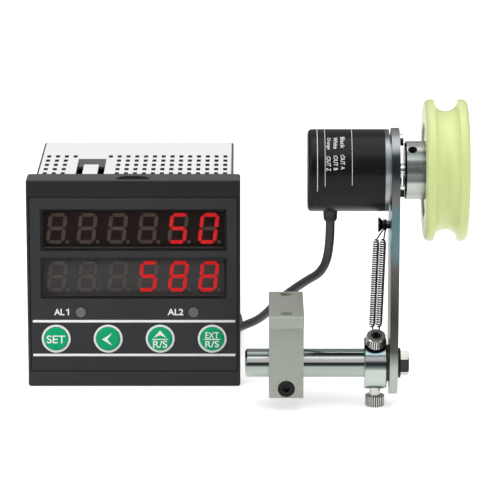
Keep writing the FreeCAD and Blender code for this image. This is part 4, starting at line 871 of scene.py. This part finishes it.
def springWire(number):
    top, foot = Vector(spring["tops"][number]), Vector(spring["feet"][number])
    axis = (foot - top).normalized()
    across = axis.cross(Vector((0, 1, 0))).normalized()
    behind = axis.cross(across)
    hook = spring["hookRadius"]
    points = []
    for degrees in spring["hookDegrees"]:
        turn = math.radians(degrees)
        points.append(Vector((spring["hookX"][number], armAxis[0] + hook * math.cos(turn),
                              spring["anchorZ"] + hook * math.sin(turn))))
    points.append(points[-1].lerp(top, 0.5))
    long = (foot - top).length
    steps = int(long / spring["pitch"]) * spring["pointsPerTurn"]
    for count in range(steps + 1):
        share = count / steps
        turn = 2 * math.pi * count / spring["pointsPerTurn"]
        widths = [spring["neck"] + spring["neckSpeed"] * far for far in (share, 1 - share)]
        reach = spring["radius"] * min(1, *widths)
        points.append(top + axis * (long * share) + across * (reach * math.cos(turn))
                      + behind * (reach * math.sin(turn)))
    outWay = Vector((0, -math.sin(postLean), math.cos(postLean)))
    rearWay = Vector((0, math.cos(postLean), math.sin(postLean)))
    loop = spring["loopRadius"][number]
    back = loop - spring["wire"] / 2 - spring["postRadius"] - spring["loopGap"]
    centre = Vector((collarScrew["x"], *armAxis)) + outWay * spring["loopRise"][number] + rearWay * back
    side = (-loop, loop)[number]
    ring = []
    for degrees in spring["loopDegrees"]:
        turn = math.radians(degrees)
        ring.append(centre + rearWay * (loop * math.cos(turn)) + Vector((side * math.sin(turn), 0, 0)))
    return points + [points[-1].lerp(ring[0], 0.5)] + ring


def armSprings():
    for number, (name, node) in enumerate([("springLeft", "spring_left"), ("springRight", "spring_right")]):
        piece = meshFrom(curveOf(name, springWire(number), spring["wire"], 2, 2))
        settle(piece, "springSteel", None, 60)
        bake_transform(piece)
        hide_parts(node)
    print("stage: springs wound")


# white print on the indicator's front
face = {
    "front": -0.0057, "thick": 0.00005, "half": 0.0457, "edge": 0.00001,
    "stripe": 0.00115, "stripes": [0.0305, 0.0147],
    "words": [("AL", -0.0337, 0.0046), ("AL2", 0.0187, 0.0072)],
    "wordHigh": 0.003, "wordHeight": 0.0348, "bold": 0.0001, "oneX": -0.0301,
}
figureOne = [(0.0008, -0.0015), (0.0008, 0.0015), (0.0003, 0.0015), (-0.0005, 0.0009), (-0.0005, 0.0004),
             (0.0002, 0.0008), (0.0002, -0.0015)]


def words(text, wide, high, spot, thick, bold=0.0):
    # upright lettering that faces the user, fitted to a width and a height; flat if it has no spot
    bpy.ops.object.text_add(location=(0, 0, 0))
    item = bpy.context.object
    item.data.body = text
    item.data.size = high / 0.7      # about a capital's share of the letter size
    item.data.align_x = "CENTER"
    item.data.align_y = "CENTER"
    item.data.extrude = thick / 2
    item.data.offset = bold
    piece = meshFrom(item)
    piece.scale = (wide / piece.dimensions.x, high / piece.dimensions.y, 1)
    only(piece)
    fixPlace()
    runs = [[vertex.co[axis] for vertex in piece.data.vertices] for axis in range(2)]
    stand(piece, (*[-(min(run) + max(run)) / 2 for run in runs], 0), "Z")
    if spot:
        stand(piece, spot, "-Y")
    editing(True)
    closeUp()
    editing(False)
    return piece


def shapeOn(name, outline, thick, spot):
    # a flat outline, made solid and stood upright at its spot
    piece = begin(name, "circle", vertices=len(outline), radius=0.001, fill_type="NGON")
    for vertex, (u, v) in zip(piece.data.vertices, outline):
        vertex.co = (u, v, -thick / 2)
    drawnOut((0, 0, thick))
    return stand(piece, spot, "-Y")


def frontPrint():
    front, thick, half, height = face["front"], face["thick"], face["half"], face["wordHeight"]
    middle = front - thick / 2
    pieces = []
    for rise in face["stripes"]:
        low, high = rise - face["stripe"] / 2, rise + face["stripe"] / 2
        pieces.append(block("stripe", (-half, front - thick, low), (half, front, high), face["edge"]))
    for text, x, wide in face["words"]:
        pieces.append(words(text, wide, face["wordHigh"], (x, middle, height), thick, face["bold"]))
    pieces.append(shapeOn("one", figureOne, thick, (face["oneX"], middle, height)))
    piece = joined("frontPrint", pieces)
    settle(piece, "printWhite", "stand")


# a black frame in the gap between the overlay and the bezel's rim: the gap's shade, painted
seam = {"half": 0.0467, "bottom": 0.0071, "top": 0.0879, "wide": 0.00045, "front": -0.00572, "back": -0.0055}


def overlaySeam():
    out = seam["wide"] / 2
    piece = block("overlaySeam", (-seam["half"] - out, seam["front"], seam["bottom"] - out),
                  (seam["half"] + out, seam["back"], seam["top"] + out))
    tool = block("seamTool", (-seam["half"] + out, seam["front"] - past, seam["bottom"] + out),
                 (seam["half"] - out, seam["back"] + past, seam["top"] - out))
    carved(piece, tool, "DIFFERENCE")
    settle(piece, "seamShade", "stand")


# the marks on the keys: words, arrows and bars, placed from the keys' middles
keyMark = {"front": -0.0072, "thick": 0.00006, "height": 0.0224, "bold": 0.00004, "barHalf": 0.0036,
           "barThick": 0.00044, "edge": 0.00001}
keyX = {"set": -0.03525, "shift": -0.01175, "up": 0.01175, "exit": 0.03525}
leftArrow = [(-0.0028, 0), (0.0019, 0.0029), (-0.0003, 0), (0.0019, -0.0029)]
upArrow = [(0, 0.0042), (-0.0029, 0.0008), (0, 0.002), (0.0029, 0.0008)]


def keyBar(key):
    deep, tall, half = keyMark["thick"] / 2, keyMark["barThick"] / 2, keyMark["barHalf"]
    return block(f"{key}Bar", (keyX[key] - half, keyMark["front"] - deep, keyMark["height"] - tall),
                 (keyX[key] + half, keyMark["front"] + deep, keyMark["height"] + tall),
                 keyMark["edge"])


def keyWord(key, text, wide, high, rise):
    spot = (keyX[key], keyMark["front"], keyMark["height"] + rise)
    return words(text, wide, high, spot, keyMark["thick"], keyMark["bold"])


def keyArrow(key, outline):
    spot = (keyX[key], keyMark["front"], keyMark["height"])
    return shapeOn(f"{key}Arrow", outline, keyMark["thick"], spot)


def keyMarks():
    marks = {
        "set": [keyWord("set", "SET", 0.0084, 0.0037, 0)],
        "shift": [keyArrow("shift", leftArrow)],
        "up": [keyArrow("up", upArrow), keyBar("up"), keyWord("up", "R/S", 0.0064, 0.0033, -0.0023)],
        "exit": [keyWord("exit", "EXT", 0.0061, 0.0029, 0.0019), keyBar("exit"),
                 keyWord("exit", "R/S", 0.0062, 0.003, -0.0022)],
    }
    for name, pieces in marks.items():
        piece = joined(f"{name}Mark", pieces)
        settle(piece, "printWhite", f"key_{name}_cap")
    print("stage: front printed")


# the sloping plate in the pocket behind the latch's tongue, grey as painted shade
latch = {"left": -0.0268, "right": -0.0142, "start": 0.0395, "end": 0.0513, "top": 0.0929, "deep": 0.0012,
         "foot": 0.0002, "edge": 0.00008}


def latchRamp():
    low = latch["top"] - latch["deep"]
    piece = block("latchRamp", (latch["left"], latch["start"], low),
                  (latch["right"], latch["end"], latch["top"]))
    editing(True)
    mesh = bmesh.from_edit_mesh(piece.data)
    for vertex in mesh.verts:
        if vertex.co.z > latch["top"] - 1e-5 and vertex.co.y < latch["start"] + 1e-5:
            vertex.co.z = low + latch["foot"]
    bmesh.update_edit_mesh(piece.data)
    bpy.ops.mesh.bevel(offset=latch["edge"], segments=1, affect="EDGES")
    closeUp()
    editing(False)
    settle(piece, "latchShadeGrey", "stand")


# the terminals' screw heads, with crossed slots, each turned a little further than the last
terminal = {
    "first": -0.0333, "pitch": 0.0074, "count": 10,
    "seat": 0.0918, "height": 0.06, "turn": 0.5,
    "rings": [(0.0026, 0), (0.0026, 0.0016), (0.00234, 0.002), (0.00156, 0.0022)],
    "slot": 0.0007, "slotHalf": 0.002, "slotDeep": 0.0009,
}


def terminalHeads():
    size = terminal
    pattern = turned("terminalHead", size["rings"], 36)
    top = size["rings"][-1][1]
    narrow = size["slot"] / 2
    for wide, tall in ((size["slotHalf"], narrow), (narrow, size["slotHalf"])):
        tool = block("slotTool", (-wide, -tall, top - size["slotDeep"]), (wide, tall, top + past))
        carved(pattern, tool, "DIFFERENCE")
    heads = []
    for number in range(size["count"]):
        head = copyOf(pattern, f"terminalHead{number}")
        spot = (size["first"] + size["pitch"] * number, size["seat"], size["height"])
        heads.append(stand(head, spot, (-math.pi / 2, size["turn"] * number, 0)))
    bpy.data.objects.remove(pattern, do_unlink=True)
    piece = joined("terminalHeads", heads)
    settle(piece, "brightSteel", "stand", 30)
    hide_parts("terminal_screws")
    print("stage: terminals screwed")


# the pivot's bolt: a hexagon head with its corners turned off
bolt = {"start": 0.0989, "headStart": 0.1189, "end": 0.1226, "flats": 0.01, "shank": 0.0035,
        "cornerLong": 0.0007, "faceShare": 0.86, "shankIn": 0.0005}


def pivotBolt():
    corner = bolt["flats"] / 2 / math.cos(math.pi / 6)
    deep = bolt["end"] - bolt["headStart"]
    head = begin("pivotBolt", "cylinder", vertices=6, radius=corner, depth=deep, location=(0, 0, deep / 2),
                 rotation=(0, 0, math.pi / 6))
    fixPlace()
    wide = corner * 1.02      # clear of the corners until they are turned off
    cone = turned("boltCone", [(wide, -past), (wide, deep - bolt["cornerLong"]),
                               (corner * bolt["faceShare"], deep)], 64)
    carved(head, cone, "INTERSECT")
    shankRings = [(bolt["shank"], bolt["start"] - bolt["headStart"]), (bolt["shank"], bolt["shankIn"])]
    piece = joined("pivotBolt", [head, turned("boltShank", shankRings, 40)])
    stand(piece, (bolt["headStart"], *armAxis), "X")
    settle(piece, "boltSteel", "stand", 25)
    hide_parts("pivot_bolt")


# the print round the encoder's case: lines by place, from, to and width; words by place and angle
casePrint = {
    "radius": 0.01803, "thick": 0.00003,
    "lines": [(0.0814, -18, 108, 0.00024), (0.0847, -18, 101, 0.00018), (0.0964, -18, 99, 0.00018)],
    "words": [(":OUT Z", 0.0862, 68), (":OUT B", 0.08925, 67), (":OUT A", 0.0923, 66),
              ("Orange", 0.0862, 37), ("White", 0.08925, 36), ("Black", 0.0923, 35)],
    "wordWide": 0.00663, "wordHigh": 0.00185,
}


def wrapped(piece, x, degrees):
    # bends a flat print round the case: its run goes down the front, its top to the right
    radius = casePrint["radius"]
    for vertex in piece.data.vertices:
        turn = math.radians(degrees) + vertex.co.x / radius
        reach = radius + vertex.co.z
        vertex.co = (x + vertex.co.y, headAxis[0] - reach * math.sin(turn),
                     headAxis[1] + reach * math.cos(turn))
    return piece


def encoderPrint():
    thick = casePrint["thick"]
    pieces = []
    for x, start, end, wide in casePrint["lines"]:
        run = math.radians(end - start) * casePrint["radius"]
        strip = begin("line", "grid", x_subdivisions=48, y_subdivisions=1, size=1)
        strip.scale = (run, wide, 1)
        fixPlace()
        drawnOut((0, 0, thick))
        pieces.append(wrapped(strip, x, (start + end) / 2))
    for text, x, degrees in casePrint["words"]:
        word = words(text, casePrint["wordWide"], casePrint["wordHigh"], None, thick)
        pieces.append(wrapped(word, x, degrees))
    piece = joined("encoderPrint", pieces)
    editing(True)
    bpy.ops.mesh.normals_make_consistent(inside=False)      # wrapping turned them inwards
    editing(False)
    settle(piece, "printWhite", "arm", 60)
    print("stage: encoder printed")


studio = {"floor": 24.0, "sky": 0.45, "paperGlow": 0.45}
lamps = {
    "overhead": {"place": (0.05, -0.25, 2.0), "aim": (0.05, 0.0, 0.0), "size": 2.4, "watts": 31},
    "left": {"place": (-1.2, -0.9, 0.9), "aim": (0.02, 0.0, 0.05), "size": 0.8, "watts": 6},
    "right": {"place": (1.3, -0.8, 0.8), "aim": (0.08, 0.0, 0.05), "size": 0.7, "watts": 4},
}


def lightStudio():
    floor = begin("studioFloor", "plane", size=studio["floor"])
    paper, tree, shader = recipe("paleFloor", Roughness=0.9, Specular_IOR_Level=0.1)
    colours(shader, grain(tree, 3), [(0.3, (0.93, 0.93, 0.93)), (0.7, (0.95, 0.95, 0.95))])
    seen = step(tree, "ShaderNodeLightPath", {}).outputs
    direct = seen["Is Camera Ray"]
    for ray in ("Is Glossy Ray", "Is Transmission Ray"):
        direct = sums(tree, "MAXIMUM", direct, seen[ray])
    glow = sums(tree, "MULTIPLY", direct, studio["paperGlow"])
    tree.links.new(glow, shader.inputs["Emission Strength"])
    shader.inputs["Emission Color"].default_value = (1, 1, 1, 1)
    floor.data.materials.append(paper)
    for name, lamp in lamps.items():
        bpy.ops.object.light_add(type="AREA", location=lamp["place"])
        light = bpy.context.object
        light.name = name
        light.data.energy = lamp["watts"]
        light.data.size = lamp["size"]
        way = Vector(lamp["aim"]) - Vector(lamp["place"])
        light.rotation_euler = way.to_track_quat("-Z", "Y").to_euler()
    world = bpy.data.worlds.new("studioAir")
    world.use_nodes = True
    bpy.context.scene.world = world
    tree = world.node_tree
    ways = step(tree, "ShaderNodeTexCoord", {}).outputs["Generated"]
    rise = step(tree, "ShaderNodeSeparateXYZ", {"Vector": ways}).outputs["Z"]
    air = tree.nodes["Background"]
    air.inputs["Strength"].default_value = studio["sky"]
    colours(air, rise, [(0.05, (0.22, 0.23, 0.24)), (0.55, (1, 1, 1))], "Color")
    bpy.context.scene.view_settings.view_transform = "Standard"
    print("stage: studio lit")


standCamera()
dressNodes()
cablePiece, cableLine = sensorCable()
cableGland()
bootPiece = cableBoot()
tiePieces = [coilTie("frontTie", -1), coilTie("backTie", 1)]
wirePiece = sensorWires()
capScrew("lockScrew", "collar_lock_screw", lockSeat, "-Z")
capScrew("springPost", "spring_post_screw", postSeat, (postLean, 0, 0))
armSprings()
overlaySeam()
frontPrint()
keyMarks()
latchRamp()
terminalHeads()
pivotBolt()
encoderPrint()
lightStudio()
